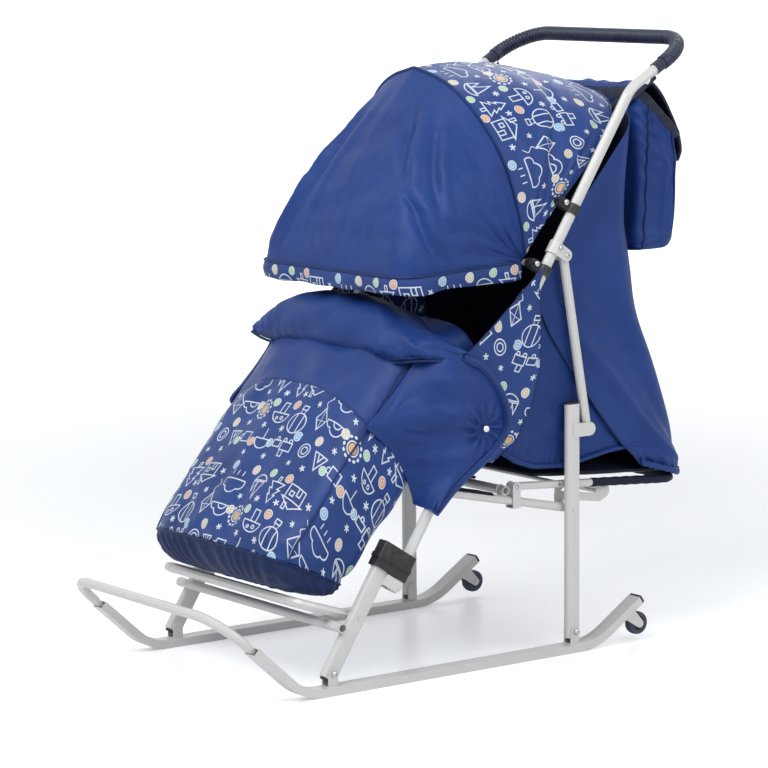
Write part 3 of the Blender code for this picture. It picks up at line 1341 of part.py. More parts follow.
def make_joints():
    base = joint("sled_base", None, 0, Vector((0, 0)), both("runner", "runner_end_cap") + ["front_bow"])
    for side_name, side in SIDES:
        joint(f"wheel_axle_{side_name}", base, side * HALF_TRACK, Vector(WHEEL_AXLE), [f"wheel_{side_name}"])
    on_legs = both("front_leg", "leg_plug") + ["footrest_cross_tube", "footrest_loop"]
    legs = joint("frame_fold", base, 0, FRONT_BOLT, on_legs)
    joint("post_fold", base, 0, REAR_BOLT, both("rear_post", "post_cap", "post_plug"))
    on_handle = both("brace_clamp", "hood_clip_lower", "hood_clip_upper", "side_wing")
    on_handle += ["handle_tube", "handle_grip", "hood_rear_bow", "hood_rear_panel", "rear_curtain", "handle_bag"]
    handle = joint("knee_fold", legs, 0, KNEE, on_handle)
    for side_name, side in SIDES:
        sleeve = f"lock_sleeve_{side_name}"
        joint(f"sleeve_slide_{side_name}", handle, side * HALF_TRACK, handle_point(SLEEVE_START), [sleeve])
    joint("brace_fold", handle, 0, BRACE_TOP, both("brace"))
    on_seat = both("seat_tube", "recline_bracket", "recline_comb")
    on_seat += ["seat_cross_tube", "seat_sling", "seat_pad", "foot_muff", "muff_sole", "muff_flap"]
    seat = joint("seat_fold", handle, 0, SEAT_FRONT, on_seat)
    back = joint("back_recline", seat, 0, RECLINE, ["backrest_frame", "back_pad"])
    joint("strut_swing", back, 0, STRUT_PIVOT, ["recline_strut"])
    joint("hood_open", handle, 0, LOWER_STUD, ["hood_front_bow", "hood_visor", "hood_valance"])
    joint("middle_bow_swing", handle, 0, LOWER_STUD, ["hood_mid_bow"])
    joint("bag_lid_open", handle, 0, LID_HINGE, ["bag_flap"])
    return base


def stand_on_origin(base):
    """Moves the sled along Y, so that the origin is the bottom centre of its box."""
    bpy.context.view_layer.update()
    graph = bpy.context.evaluated_depsgraph_get()
    reach = []
    for piece in SLED.objects:
        if piece.type != "EMPTY":
            shape = piece.evaluated_get(graph)
            reach += [(shape.matrix_world @ vertex.co).y for vertex in shape.to_mesh().vertices]
            shape.to_mesh_clear()
    base.location.y = -(min(reach) + max(reach)) / 2


make_runners()
make_end_caps()
make_front_bow()
make_wheels()
make_legs()
make_footrest()
make_handle()
make_sleeves()
make_brace_clamps()
make_braces()
make_posts()
make_seat_frame()
make_backrest()
make_clips()
make_bows()
make_visor()
make_hood()
make_muff()
make_flap()
make_seat_pad()
make_back_pad()
make_wings()
make_curtain()
make_bag()
stand_on_origin(make_joints())
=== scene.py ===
"""Looks of a folding child sled with a foot muff, a hood and a bag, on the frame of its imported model."""

import json
from math import atan2, cos, pi, radians, sin, sqrt, tan

import bmesh
import bpy
from mathutils import Matrix, Vector, noise

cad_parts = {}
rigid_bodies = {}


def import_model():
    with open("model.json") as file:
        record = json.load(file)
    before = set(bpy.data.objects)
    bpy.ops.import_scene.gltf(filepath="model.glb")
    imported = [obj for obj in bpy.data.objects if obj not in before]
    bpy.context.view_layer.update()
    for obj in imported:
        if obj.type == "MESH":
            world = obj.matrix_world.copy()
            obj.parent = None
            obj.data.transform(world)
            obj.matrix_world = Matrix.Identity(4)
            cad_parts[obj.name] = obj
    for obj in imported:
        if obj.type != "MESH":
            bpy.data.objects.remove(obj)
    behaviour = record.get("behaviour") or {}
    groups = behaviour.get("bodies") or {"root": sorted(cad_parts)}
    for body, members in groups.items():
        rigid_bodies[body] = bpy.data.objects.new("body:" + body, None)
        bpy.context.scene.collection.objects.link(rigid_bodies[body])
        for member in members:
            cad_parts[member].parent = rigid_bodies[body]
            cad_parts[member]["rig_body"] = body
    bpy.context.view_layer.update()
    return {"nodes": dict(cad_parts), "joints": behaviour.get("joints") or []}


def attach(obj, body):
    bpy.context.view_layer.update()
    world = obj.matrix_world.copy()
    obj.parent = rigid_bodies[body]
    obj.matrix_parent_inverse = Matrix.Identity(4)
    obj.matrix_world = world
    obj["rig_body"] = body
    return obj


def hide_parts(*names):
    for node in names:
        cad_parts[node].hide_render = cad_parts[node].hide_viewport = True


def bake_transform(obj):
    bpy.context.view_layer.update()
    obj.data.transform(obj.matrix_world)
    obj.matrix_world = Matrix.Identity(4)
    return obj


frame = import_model()

# Distances along the sled are counted from its two rear pivot bolts, as on a side view of it.
rear_bolts = next(joint["pos_m"][1] for joint in frame["joints"] if joint["name"] == "post_fold")


def spot(x, y, z):
    return Vector((x, rear_bolts + y, z))


# Camera: ahead of the sled on the child's left, a little above the seat, far off with a long lens.
azimuth, elevation, roll = radians(53.53), radians(8.083), radians(-0.404)
back = Vector((sin(azimuth) * cos(elevation), -cos(azimuth) * cos(elevation), sin(elevation)))
level = Vector((cos(azimuth), sin(azimuth), 0.0))
upright = back.cross(level)
camera_right = cos(roll) * level + sin(roll) * upright
camera_up = cos(roll) * upright - sin(roll) * level
camera = bpy.data.objects.new("camera", bpy.data.cameras.new("camera"))
camera.data.lens = 150.18
camera.data.sensor_width = 36.0
camera.data.clip_end = 200.0
camera.matrix_world = Matrix((camera_right, camera_up, back)).transposed().to_4x4()
camera.location = spot(0.0, -0.2339, 0.4750) + 5.686 * back
bpy.context.scene.collection.objects.link(camera)
bpy.context.scene.camera = camera
bpy.context.scene.view_settings.view_transform = "Standard"


# Finishes: each is one material on a Principled shader, and its sums are written as plain expressions. A
# channel is what one node gives. Arithmetic on channels adds the Math nodes.
class Channel:
    def __init__(self, finish, socket):
        self.finish = finish
        self.socket = socket

    def maths(self, operation, *terms):
        return self.finish.node("ShaderNodeMath", {"operation": operation}, dict(enumerate(terms)))

    def __add__(self, other):
        return self.maths("ADD", self, other)

    def __radd__(self, other):
        return self.maths("ADD", other, self)

    def __sub__(self, other):
        return self.maths("SUBTRACT", self, other)

    def __rsub__(self, other):
        return self.maths("SUBTRACT", other, self)

    def __mul__(self, other):
        return self.maths("MULTIPLY", self, other)

    def __rmul__(self, other):
        return self.maths("MULTIPLY", other, self)

    def __truediv__(self, other):
        return self.maths("DIVIDE", self, other)

    def __pow__(self, other):
        return self.maths("POWER", self, other)

    def __abs__(self):
        return self.maths("ABSOLUTE", self)

    def least(self, other):
        return self.maths("MINIMUM", self, other)

    def most(self, other):
        return self.maths("MAXIMUM", self, other)

    def sine(self):
        return self.maths("SINE", self)

    def root(self):
        return self.maths("SQRT", self)

    def below(self, edge, soft):
        """1 where this is under the edge, 0 over it, with a soft step between."""
        return self.finish.node(
            "ShaderNodeMapRange", {"clamp": True}, {0: self, 1: edge - soft, 2: edge + soft, 3: 1.0, 4: 0.0}
        )


class Finish:
    def __init__(self, name, colour, roughness, **constants):
        self.material = bpy.data.materials.new(name)
        self.material.use_nodes = True
        self.tree = self.material.node_tree
        self.shader = self.tree.nodes["Principled BSDF"]
        self.material.diffuse_color = (*colour, 1.0)
        self.set(Base_Color=(*colour, 1.0), Roughness=roughness, **constants)

    def set(self, **sockets):
        for name, value in sockets.items():
            socket = self.shader.inputs[name.replace("_", " ")]
            if isinstance(value, Channel):
                self.tree.links.new(value.socket, socket)
            else:
                socket.default_value = value

    def node(self, kind, settings=None, sockets=None, output=0):
        """A node of that type: its settings first, then the values or channels of its sockets."""
        node = self.tree.nodes.new(kind)
        for name, value in (settings or {}).items():
            setattr(node, name, value)
        for name, value in (sockets or {}).items():
            if isinstance(value, Channel):
                self.tree.links.new(value.socket, node.inputs[name])
            else:
                node.inputs[name].default_value = value
        return Channel(self, node.outputs[output])

    def place(self):
        """Object coordinates, in metres."""
        return self.node("ShaderNodeTexCoord", output="Object")

    def parts(self, vector):
        split = self.node("ShaderNodeSeparateXYZ", None, {0: vector})
        outputs = split.socket.node.outputs
        return [Channel(self, outputs[i]) for i in range(3)]

    def grain(self, scale, detail=3.0, vector=None, roughness=0.55):
        vector = vector or self.place()
        sockets = {"Vector": vector, "Scale": scale, "Detail": detail, "Roughness": roughness}
        return self.node("ShaderNodeTexNoise", {"noise_dimensions": "3D"}, sockets)

    def tint(self, first, second, share):
        """The first colour where the share is 0 and the second where it is 1."""
        sockets = {0: share}
        for index, colour in ((6, first), (7, second)):
            sockets[index] = colour if isinstance(colour, Channel) else (*colour, 1.0)
        return self.node("ShaderNodeMix", {"data_type": "RGBA", "clamp_factor": True}, sockets, 2)

    def bump(self, height, distance, strength=1.0, under=None):
        sockets = {"Height": height, "Distance": distance, "Strength": strength}
        if under:
            sockets["Normal"] = under
        return self.node("ShaderNodeBump", None, sockets)


# Studio: a pale floor with a slight gloss, a white surround, and three large soft lights. The surround is
# plain white to the camera and in reflections, and dimmer as a light on the sled.
floor_mesh = bmesh.new()
bmesh.ops.create_grid(floor_mesh, x_segments=1, y_segments=1, size=60.0)
floor = bpy.data.objects.new("floor", bpy.data.meshes.new("floor"))
floor_mesh.to_mesh(floor.data)
floor_mesh.free()
bpy.context.scene.collection.objects.link(floor)
floor_finish = Finish("floor", (0.86, 0.885, 0.91), 0.30, Specular_IOR_Level=0.35)
far_off = floor_finish.parts(floor_finish.place())
distance_off = ((far_off[0] + 1.2) ** 2.0 + (far_off[1] - 1.2) ** 2.0).root()
pale = floor_finish.tint((0.97, 0.98, 0.99), (0.945, 0.955, 0.97), distance_off.below(3.2, 2.8))
far_share = (1.0 - distance_off.below(2.1, 1.7)) * 0.75
to_camera = floor_finish.node("ShaderNodeLightPath", output="Is Camera Ray")
floor_finish.set(
    Base_Color=pale,
    Emission_Color=floor_finish.tint((0.0, 0.0, 0.0), (0.97, 0.985, 1.0), far_share * to_camera),
)
floor_finish.shader.inputs["Emission Strength"].default_value = 1.0
floor.data.materials.append(floor_finish.material)

world = bpy.data.worlds.new("studio")
bpy.context.scene.world = world
world.use_nodes = True
surround = world.node_tree
seen = surround.nodes.new("ShaderNodeLightPath")
directly = seen.outputs["Is Camera Ray"]
for ray in ("Is Glossy Ray", "Is Transmission Ray"):
    either = surround.nodes.new("ShaderNodeMath")
    either.operation = "ADD"
    either.use_clamp = True
    surround.links.new(directly, either.inputs[0])
    surround.links.new(seen.outputs[ray], either.inputs[1])
    directly = either.outputs[0]
brightness = surround.nodes.new("ShaderNodeMapRange")
brightness.inputs["To Min"].default_value = 0.50
brightness.inputs["To Max"].default_value = 1.0
surround.links.new(directly, brightness.inputs[0])
surround.nodes["Background"].inputs["Color"].default_value = (0.955, 0.975, 1.0, 1.0)
surround.links.new(brightness.outputs[0], surround.nodes["Background"].inputs["Strength"])


def soft_light(name, azimuth, elevation, distance, size, power):
    lamp = bpy.data.lights.new(name, "AREA")
    lamp.shape = "SQUARE"
    lamp.size = size
    lamp.energy = power
    way = Vector((sin(azimuth) * cos(elevation), -cos(azimuth) * cos(elevation), sin(elevation)))
    light = bpy.data.objects.new(name, lamp)
    light.matrix_world = way.to_track_quat("Z", "Y").to_matrix().to_4x4()
    light.location = Vector((0.0, 0.0, 0.5)) + distance * way
    bpy.context.scene.collection.objects.link(light)


soft_light("key", radians(20), radians(52), 3.4, 1.8, 62.0)
soft_light("side", radians(100), radians(28), 3.6, 2.2, 26.0)
soft_light("rim", radians(-150), radians(40), 3.6, 1.6, 24.0)


# Enamelled steel: runners, legs, posts, handle and bows are tube or bent sheet, welded and then sprayed in
# one warm grey-white coat. The coat has a faint orange peel and random patches of dust, and it is darker
# and rougher near the ground.
enamel = Finish("grey_white_enamel", (0.66, 0.66, 0.64), 0.30, Coat_Weight=0.25, Coat_Roughness=0.12)
peel = enamel.grain(420.0, 2.0)
dust = enamel.grain(18.0, 4.0)
height_off_floor = enamel.parts(enamel.place())[2]
low_down = height_off_floor.below(0.055, 0.05)
# Random dust patches, and a darkening over the lowest 10 cm towards the floor.
dust_and_low_darkening = (dust * 0.5 + low_down * 0.35) * 0.35
enamel.set(
    Base_Color=enamel.tint((0.68, 0.675, 0.655), (0.56, 0.555, 0.54), dust_and_low_darkening),
    Roughness=0.27 + dust * 0.10 + low_down * 0.08,
    Normal=enamel.bump(peel, 0.00012, 0.35, enamel.bump(dust, 0.0006, 0.2)),
)


def lay_out(name, mesh):
    piece = bpy.data.objects.new(name, mesh)
    bpy.context.scene.collection.objects.link(piece)
    return piece


def finished(name, shape, finish, body, sharp=35.0):
    """Closes a bmesh into a smooth piece with one finish, on its body."""
    mesh = bpy.data.meshes.new(name)
    for face in shape.faces:
        face.smooth = True
    shape.to_mesh(mesh)
    shape.free()
    mesh.materials.append(finish.material)
    if sharp:
        mesh.set_sharp_from_angle(angle=radians(sharp))
    piece = lay_out(name, mesh)
    if body:
        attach(piece, body)
    return piece


both_sides = (("left", 1), ("right", -1))


def of_both_sides(*names):
    return [f"{name}_{side_name}" for name in names for side_name, _ in both_sides]


def edge_softened(node, finish, edge=0.0, body=None):
    """The node's own shape with joined, smooth faces and its outer edges slightly rounded."""
    shape = bmesh.new()
    shape.from_mesh(frame["nodes"][node].data)
    bmesh.ops.remove_doubles(shape, verts=shape.verts, dist=2e-6)
    bmesh.ops.dissolve_limit(
        shape, angle_limit=radians(0.6), use_dissolve_boundaries=False, verts=shape.verts, edges=shape.edges
    )
    body = body or frame["nodes"][node].get("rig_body")
    piece = finished(f"{node}_steel" if finish is enamel else f"{node}_made", shape, finish, body)
    if edge:
        rounding = piece.modifiers.new("edges", "BEVEL")
        rounding.width = edge
        rounding.segments = 2
        rounding.limit_method = "ANGLE"
        rounding.angle_limit = radians(40)
        rounding.harden_normals = True
    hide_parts(node)
    return piece


for node in of_both_sides("runner", "rear_post", "front_leg"):
    edge_softened(node, enamel, 0.0009)
for node in of_both_sides("seat_tube", "brace", "brace_clamp", "recline_bracket", "recline_comb"):
    edge_softened(node, enamel)
for node in ("front_bow", "footrest_cross_tube", "footrest_loop", "handle_tube", "seat_cross_tube"):
    edge_softened(node, enamel)
for node in ("backrest_frame", "recline_strut", "hood_front_bow", "hood_rear_bow"):
    edge_softened(node, enamel)

# Black polyamide: moulded caps, plugs, clips and lock sleeves. Fine spark-eroded grain, paler on rubbed
# edges.
moulding = Finish("black_moulding", (0.012, 0.012, 0.014), 0.42)
pits = moulding.grain(900.0, 2.0)
rubbed = moulding.grain(60.0, 4.0)
moulding.set(
    Base_Color=moulding.tint((0.010, 0.010, 0.012), (0.035, 0.035, 0.038), rubbed.below(0.42, 0.10)),
    Roughness=0.36 + pits * 0.16,
    Normal=moulding.bump(pits, 0.00010, 0.5),
)
for node in of_both_sides(
    "runner_end_cap", "leg_plug", "post_cap", "post_plug", "hood_clip_lower", "hood_clip_upper"
):
    edge_softened(node, moulding, 0.0005)
for node in of_both_sides("lock_sleeve"):
    edge_softened(node, moulding, 0.0010)


# Blue nylon: a close plain weave of glossy thread with a soft sheen, creased where it is pulled. Its back
# is a darker, duller navy lining. Every cloth has a UV map in metres, so the weave keeps its scale.
def woven(finish, thread, under=None):
    """A plain weave from the UV map: two sets of threads that pass over each other in turn."""
    across, along, _ = finish.parts(finish.node("ShaderNodeUVMap"))
    turn = pi / thread
    warp = abs((across * turn).sine())
    weft = abs((along * turn).sine())
    over = (((across * turn * 0.5).sine() * (along * turn * 0.5).sine()) * 1.5 + 0.5).below(0.5, 0.4)
    height = warp * over + weft * (1.0 - over)
    return finish.bump(height, 0.00010, 0.55, under)


def nylon(name, colour, dark, roughness, sheen):
    finish = Finish(
        name, colour, roughness, Sheen_Weight=sheen * 0.4, Sheen_Roughness=0.35, Specular_IOR_Level=0.24
    )
    finish.shader.inputs["Sheen Tint"].default_value = (*[min(1.0, 0.10 + 1.6 * c) for c in colour], 1.0)
    crease = finish.grain(26.0, 5.0, roughness=0.6)
    soft = finish.grain(7.0, 3.0)
    rubbed = finish.grain(170.0, 2.0)
    finish.creased = finish.bump(crease, 0.0035, 0.42, finish.bump(soft, 0.010, 0.25))
    # Painted shade: the colour is darker in the hollows of the creases and soft waves that the bumps draw.
    finish.set(
        Base_Color=finish.tint(colour, dark, soft.below(0.44, 0.16) * 0.55 + crease.below(0.42, 0.10) * 0.25),
        Roughness=roughness - 0.06 + rubbed * 0.14,
        Normal=woven(finish, 0.00055, finish.creased),
    )
    return finish


royal_blue, royal_shade = (0.015, 0.050, 0.222), (0.009, 0.033, 0.160)
blue_nylon = nylon("royal_blue_nylon", royal_blue, royal_shade, 0.42, 0.20)
lining = nylon("navy_lining_cloth", (0.0075, 0.0105, 0.030), (0.005, 0.007, 0.020), 0.62, 0.10)
edging = nylon("dark_blue_edging", (0.014, 0.036, 0.135), (0.010, 0.026, 0.10), 0.45, 0.2)

# Printed nylon: the same cloth with a screen print of small outline drawings in white among pastel spots.
# The drawings are plain ones, of houses, firs, boats, clouds, kites, balloons, toadstools and the like.
printed = nylon("printed_blue_nylon", (0.021, 0.060, 0.235), (0.013, 0.040, 0.170), 0.44, 0.18)


def print_motifs(finish, under):
    """Masks of a repeat 252 mm wide and 204 mm high: white lines, and pastel fills of four colours."""
    across, along, _ = finish.parts(finish.node("ShaderNodeUVMap"))
    wide, high = 0.252, 0.204

    def repeat(value, step):
        return finish.node("ShaderNodeMath", {"operation": "WRAP"}, {0: value, 1: step, 2: 0.0})

    row = finish.node("ShaderNodeMath", {"operation": "FLOOR"}, {0: along / high})
    v = repeat(along, high)
    u = repeat(across + row * (wide * 0.37), wide)

    def disc(x, y, radius):
        return ((u - x) ** 2.0 + (v - y) ** 2.0).root() - radius

    def oblong(x, y, half_width, half_height):
        return (abs(u - x) - half_width).most(abs(v - y) - half_height)

    def gable(x, y, half_width, height):
        """A triangle on its base line."""
        lean = half_width / sqrt(half_width**2 + height**2)
        return ((abs(u - x) * (height / half_width) + (v - y) - height) * lean).most(y - v)

    def diamond(x, y, half_width, half_height):
        off = abs(u - x) / half_width + abs(v - y) / half_height - 1.0
        return off * min(half_width, half_height) * 0.8

    def outline(shape, width):
        return abs(shape).below(width, 0.0004)

    lines = []
    fills = []

    def draw(*shapes, width=0.0011):
        lines.extend(outline(shape, width) for shape in shapes)

    # House with a door, a window and a chimney.
    draw(oblong(0.030, 0.030, 0.019, 0.013).least(gable(0.030, 0.043, 0.024, 0.016)))
    draw(
        oblong(0.024, 0.024, 0.004, 0.007), oblong(0.038, 0.032, 0.004, 0.004),
        oblong(0.041, 0.057, 0.003, 0.006),
    )
    # Fir of three tiers on a short trunk.
    fir = gable(0.078, 0.026, 0.017, 0.022).least(gable(0.078, 0.039, 0.014, 0.019))
    draw(fir.least(gable(0.078, 0.051, 0.010, 0.016)), oblong(0.078, 0.020, 0.003, 0.005))
    # Boat with two sails.
    draw(
        disc(0.128, 0.040, 0.020).most(v - 0.031), gable(0.124, 0.034, 0.010, 0.034),
        gable(0.139, 0.034, 0.007, 0.020),
    )
    # Cloud of three puffs, flat below, with a row of drops.
    cloud = disc(0.178, 0.047, 0.012).least(disc(0.193, 0.053, 0.015)).least(disc(0.209, 0.047, 0.011))
    draw(cloud.most(0.041 - v))
    draw(*[oblong(x, 0.028, 0.0001, 0.004) for x in (0.180, 0.193, 0.206)], width=0.0009)
    # Kite with crossed spars and a wavy tail.
    kite = diamond(0.232, 0.096, 0.015, 0.021)
    spars = abs(u - 0.232).least(abs(v - 0.099)).most(kite)
    tail = abs(u - 0.232 + ((v * 260.0).sine() * 0.004)).most(abs(v - 0.060) - 0.014)
    draw(kite)
    lines += [spars.below(0.0006, 0.0004), tail.below(0.0010, 0.0004)]
    # Hot-air balloon with a basket.
    balloon = disc(0.030, 0.118, 0.020)
    draw(balloon, balloon.most(abs(u - 0.030) - 0.008), oblong(0.030, 0.086, 0.006, 0.004))
    draw(oblong(0.030, 0.094, 0.0045, 0.004), width=0.0006)
    # Toadstool with spots.
    draw(disc(0.084, 0.104, 0.021).most(0.106 - v), oblong(0.084, 0.095, 0.006, 0.011))
    draw(disc(0.078, 0.115, 0.003), disc(0.090, 0.117, 0.0025))
    # Sun with a ring of rays.
    angle = finish.node("ShaderNodeMath", {"operation": "ARCTAN2"}, {0: v - 0.104, 1: u - 0.140})
    from_sun = disc(0.140, 0.104, 0.0)
    rays = abs((angle * 6.0).sine()) * -0.004 + abs(from_sun - 0.0185) - 0.0005
    draw(from_sun - 0.0115)
    lines.append(rays.below(-0.0020, 0.0004))
    fills.append(((0.80, 0.52, 0.24), from_sun - 0.0085))
    # Two round hills with an arch under them.
    hills = disc(0.186, 0.098, 0.016).least(disc(0.204, 0.094, 0.010))
    draw(hills.most(0.092 - v), disc(0.186, 0.092, 0.009).most(0.092 - v))
    # Second row: a train of two boxes on wheels, an umbrella, a cup, a tent and a ring.
    draw(
        oblong(0.024, 0.164, 0.013, 0.008), oblong(0.052, 0.162, 0.010, 0.006),
        oblong(0.030, 0.178, 0.005, 0.006),
    )
    draw(*[disc(x, 0.153, 0.0035) for x in (0.017, 0.032, 0.052)])
    draw(disc(0.094, 0.160, 0.019).most(0.160 - v))
    draw(oblong(0.094, 0.150, 0.0004, 0.010), width=0.0007)
    draw(oblong(0.142, 0.162, 0.011, 0.010), disc(0.156, 0.163, 0.005).most(0.153 - u))
    draw(gable(0.184, 0.152, 0.015, 0.030), gable(0.184, 0.152, 0.006, 0.014))
    draw(disc(0.226, 0.160, 0.013), disc(0.226, 0.160, 0.007))
    # Small stars between the drawings.
    for x, y, points, size in (
        (0.056, 0.060, 5.0, 0.0060), (0.104, 0.066, 6.0, 0.0065), (0.160, 0.068, 5.0, 0.0055),
        (0.060, 0.134, 6.0, 0.0065), (0.112, 0.134, 5.0, 0.0060), (0.166, 0.132, 6.0, 0.0060),
        (0.246, 0.030, 5.0, 0.0065), (0.206, 0.190, 5.0, 0.0060), (0.070, 0.190, 6.0, 0.0060),
        (0.124, 0.192, 5.0, 0.0055), (0.004, 0.072, 6.0, 0.0060), (0.246, 0.190, 6.0, 0.0055),
    ):
        turn = finish.node("ShaderNodeMath", {"operation": "ARCTAN2"}, {0: v - y, 1: u - x})
        petals = disc(x, y, 0.0) - size * 0.72 - (turn * points).sine() * (size * 0.34)
        lines.append(petals.below(0.0, 0.0004))
    # Pastel spots with two rings each.
    pastel = ((0.82, 0.40, 0.20), (0.42, 0.72, 0.36), (0.80, 0.66, 0.42), (0.30, 0.56, 0.78))
    for place, (x, y, size) in enumerate((
        (0.060, 0.012, 0.0075), (0.106, 0.012, 0.0070), (0.158, 0.014, 0.0080), (0.216, 0.014, 0.0075),
        (0.058, 0.084, 0.0080), (0.112, 0.088, 0.0070), (0.164, 0.096, 0.0075), (0.008, 0.140, 0.0080),
        (0.120, 0.170, 0.0075), (0.166, 0.172, 0.0070), (0.206, 0.134, 0.0080), (0.072, 0.164, 0.0070),
    )):
        from_spot = disc(x, y, 0.0)
        fills.append((pastel[place % 4], from_spot - size))
        draw(from_spot - size - 0.0005, width=0.0009)
        draw(from_spot - size * 0.45, width=0.0006)
    white = lines[0]
    for line in lines[1:]:
        white = white.most(line)
    colour = under
    for tone, fill in fills:
        colour = finish.tint(colour, tone, fill.below(0.0, 0.0004) * 0.85)
    return finish.tint(colour, (0.74, 0.79, 0.86), white * 0.92), white


ground = Channel(printed, printed.shader.inputs["Base Color"].links[0].from_socket)
drawn, ink = print_motifs(printed, ground)
printed.set(Base_Color=drawn, Roughness=0.38 + ink * 0.14)


# Hood front: one plain panel sewn round the front bow and the middle bow. It is pulled straight between the
# two, stands proud of them, and falls in long soft folds from the middle bow to the front one's corners.
LOWER_STUD = (-0.08884, 0.69963)
UPPER_STUD = (-0.02311, 0.80241)
hood_half_width = 0.2235


def bow_outline(pivot, angle, reach, half_width, corner, start=0.0, steps=8):
    """Points of a U that stands out from the line through two pivots, at an angle from straight back."""
    way = (cos(angle), sin(angle))
    flat = [(half_width, start), (half_width, reach - corner)]
    for step in range(1, steps + 1):
        turn = pi / 2 * step / steps
        flat.append((half_width - corner + corner * cos(turn), reach - corner + corner * sin(turn)))
    flat += [(-x, out) for x, out in reversed(flat)]
    return [spot(x, pivot[0] + way[0] * out, pivot[1] + way[1] * out) for x, out in flat]


def profile(x, places):
    """Points at one distance across the sled, from places on a side view of it."""
    return [spot(x, y, z) for y, z in places]


def even(points, count):
    """The same path with points at equal steps."""
    reach = [0.0]
    for first, second in zip(points, points[1:]):
        reach.append(reach[-1] + (second - first).length)
    path = []
    k = 1
    for i in range(count):
        goal = reach[-1] * i / (count - 1)
        while k < len(points) - 1 and reach[k] < goal:
            k += 1
        span = max(reach[k] - reach[k - 1], 1e-9)
        path.append(points[k - 1].lerp(points[k], min(max((goal - reach[k - 1]) / span, 0.0), 1.0)))
    return path


def smooth_path(points, share):
    """The point at that share of a smooth curve through the points."""
    last = len(points) - 1
    where = min(max(share, 0.0), 1.0) * last
    k = min(int(where), last - 1)
    t = where - k
    here, ahead = points[k], points[k + 1]
    before = points[k - 1] if k else 2 * here - ahead
    after = points[k + 2] if k + 2 <= last else 2 * ahead - here
    curve = (2 * before - 5 * here + 4 * ahead - after) * t + (3 * here - before - 3 * ahead + after) * t * t
    return here + 0.5 * t * ((ahead - before) + curve)


def sewn_surface(rows, count=49):
    """A surface through rows of points, as a function of two shares: along each row, then from row to row."""
    level_rows = [even(row, count) for row in rows]

    def surface(u, v):
        return smooth_path([smooth_path(row, u) for row in level_rows], v)

    return surface


def cloth_piece(surface, across, down, faces_out, folds):
    """A grid laid on a surface with a UV map in metres, then moved out along its normals by its folds."""
    shape = bmesh.new()
    bmesh.ops.create_grid(shape, x_segments=across, y_segments=down, size=0.5)
    shares = {}
    for vertex in shape.verts:
        i, j = round((vertex.co.x + 0.5) * across), round((vertex.co.y + 0.5) * down)
        shares[vertex] = (i, j)
    at = {(i, j): surface(i / across, j / down) for i in range(across + 1) for j in range(down + 1)}
    run = {}
    for j in range(down + 1):
        run[0, j] = 0.0
        for i in range(1, across + 1):
            run[i, j] = run[i - 1, j] + (at[i, j] - at[i - 1, j]).length
    drop = {}
    for i in range(across + 1):
        drop[i, 0] = 0.0
        for j in range(1, down + 1):
            drop[i, j] = drop[i, j - 1] + (at[i, j] - at[i, j - 1]).length
    uv = shape.loops.layers.uv.new("metres")
    for face in shape.faces:
        for loop in face.loops:
            i, j = shares[loop.vert]
            loop[uv].uv = (run[i, j] - run[across // 2, j], drop[i, j])
    for vertex, key in shares.items():
        vertex.co = at[key]
    shape.normal_update()
    facing = sum(
        (face.normal.dot(face.calc_center_median() - faces_out) * face.calc_area() for face in shape.faces),
        0.0,
    )
    if facing < 0:
        bmesh.ops.reverse_faces(shape, faces=shape.faces)
        shape.normal_update()
    moves = {vertex: vertex.normal * folds(i / across, j / down) for vertex, (i, j) in shares.items()}
    for vertex, move in moves.items():
        vertex.co += move
    shape.normal_update()
    return shape


def bell(x):
    """1 at zero, fading to nothing on both sides."""
    return 2.718 ** -(x**2)


def ridge(u, v, start, end, height, width):
    """A soft fold along a line between two points of a cloth's shares."""
    du, dv = end[0] - start[0], end[1] - start[1]
    length = sqrt(du * du + dv * dv)
    along = ((u - start[0]) * du + (v - start[1]) * dv) / (length * length)
    off = ((u - start[0]) * dv - (v - start[1]) * du) / length
    if along < -0.15 or along > 1.15:
        return 0.0
    return height * sin(pi * min(max(along, 0.0), 1.0)) ** 0.7 * bell(off / width)


def ridges(u, v, *folds):
    return sum(ridge(u, v, *fold) for fold in folds)


def rumple(u, v, scale, height, seed):
    """Fine uneven rumples."""
    return height * noise.noise(Vector((u * scale, v * scale, seed)))


def lined(piece, thickness, inside):
    """Cloth with a lining: thickness inwards, and the lining's finish on its back."""
    piece.data.materials.append(inside.material)
    wall = piece.modifiers.new("lining", "SOLIDIFY")
    wall.thickness = thickness
    wall.offset = -1.0
    wall.material_offset = 1
    wall.material_offset_rim = 0
    return piece


def area_of(shape):
    return sum(face.calc_area() for face in shape.faces)


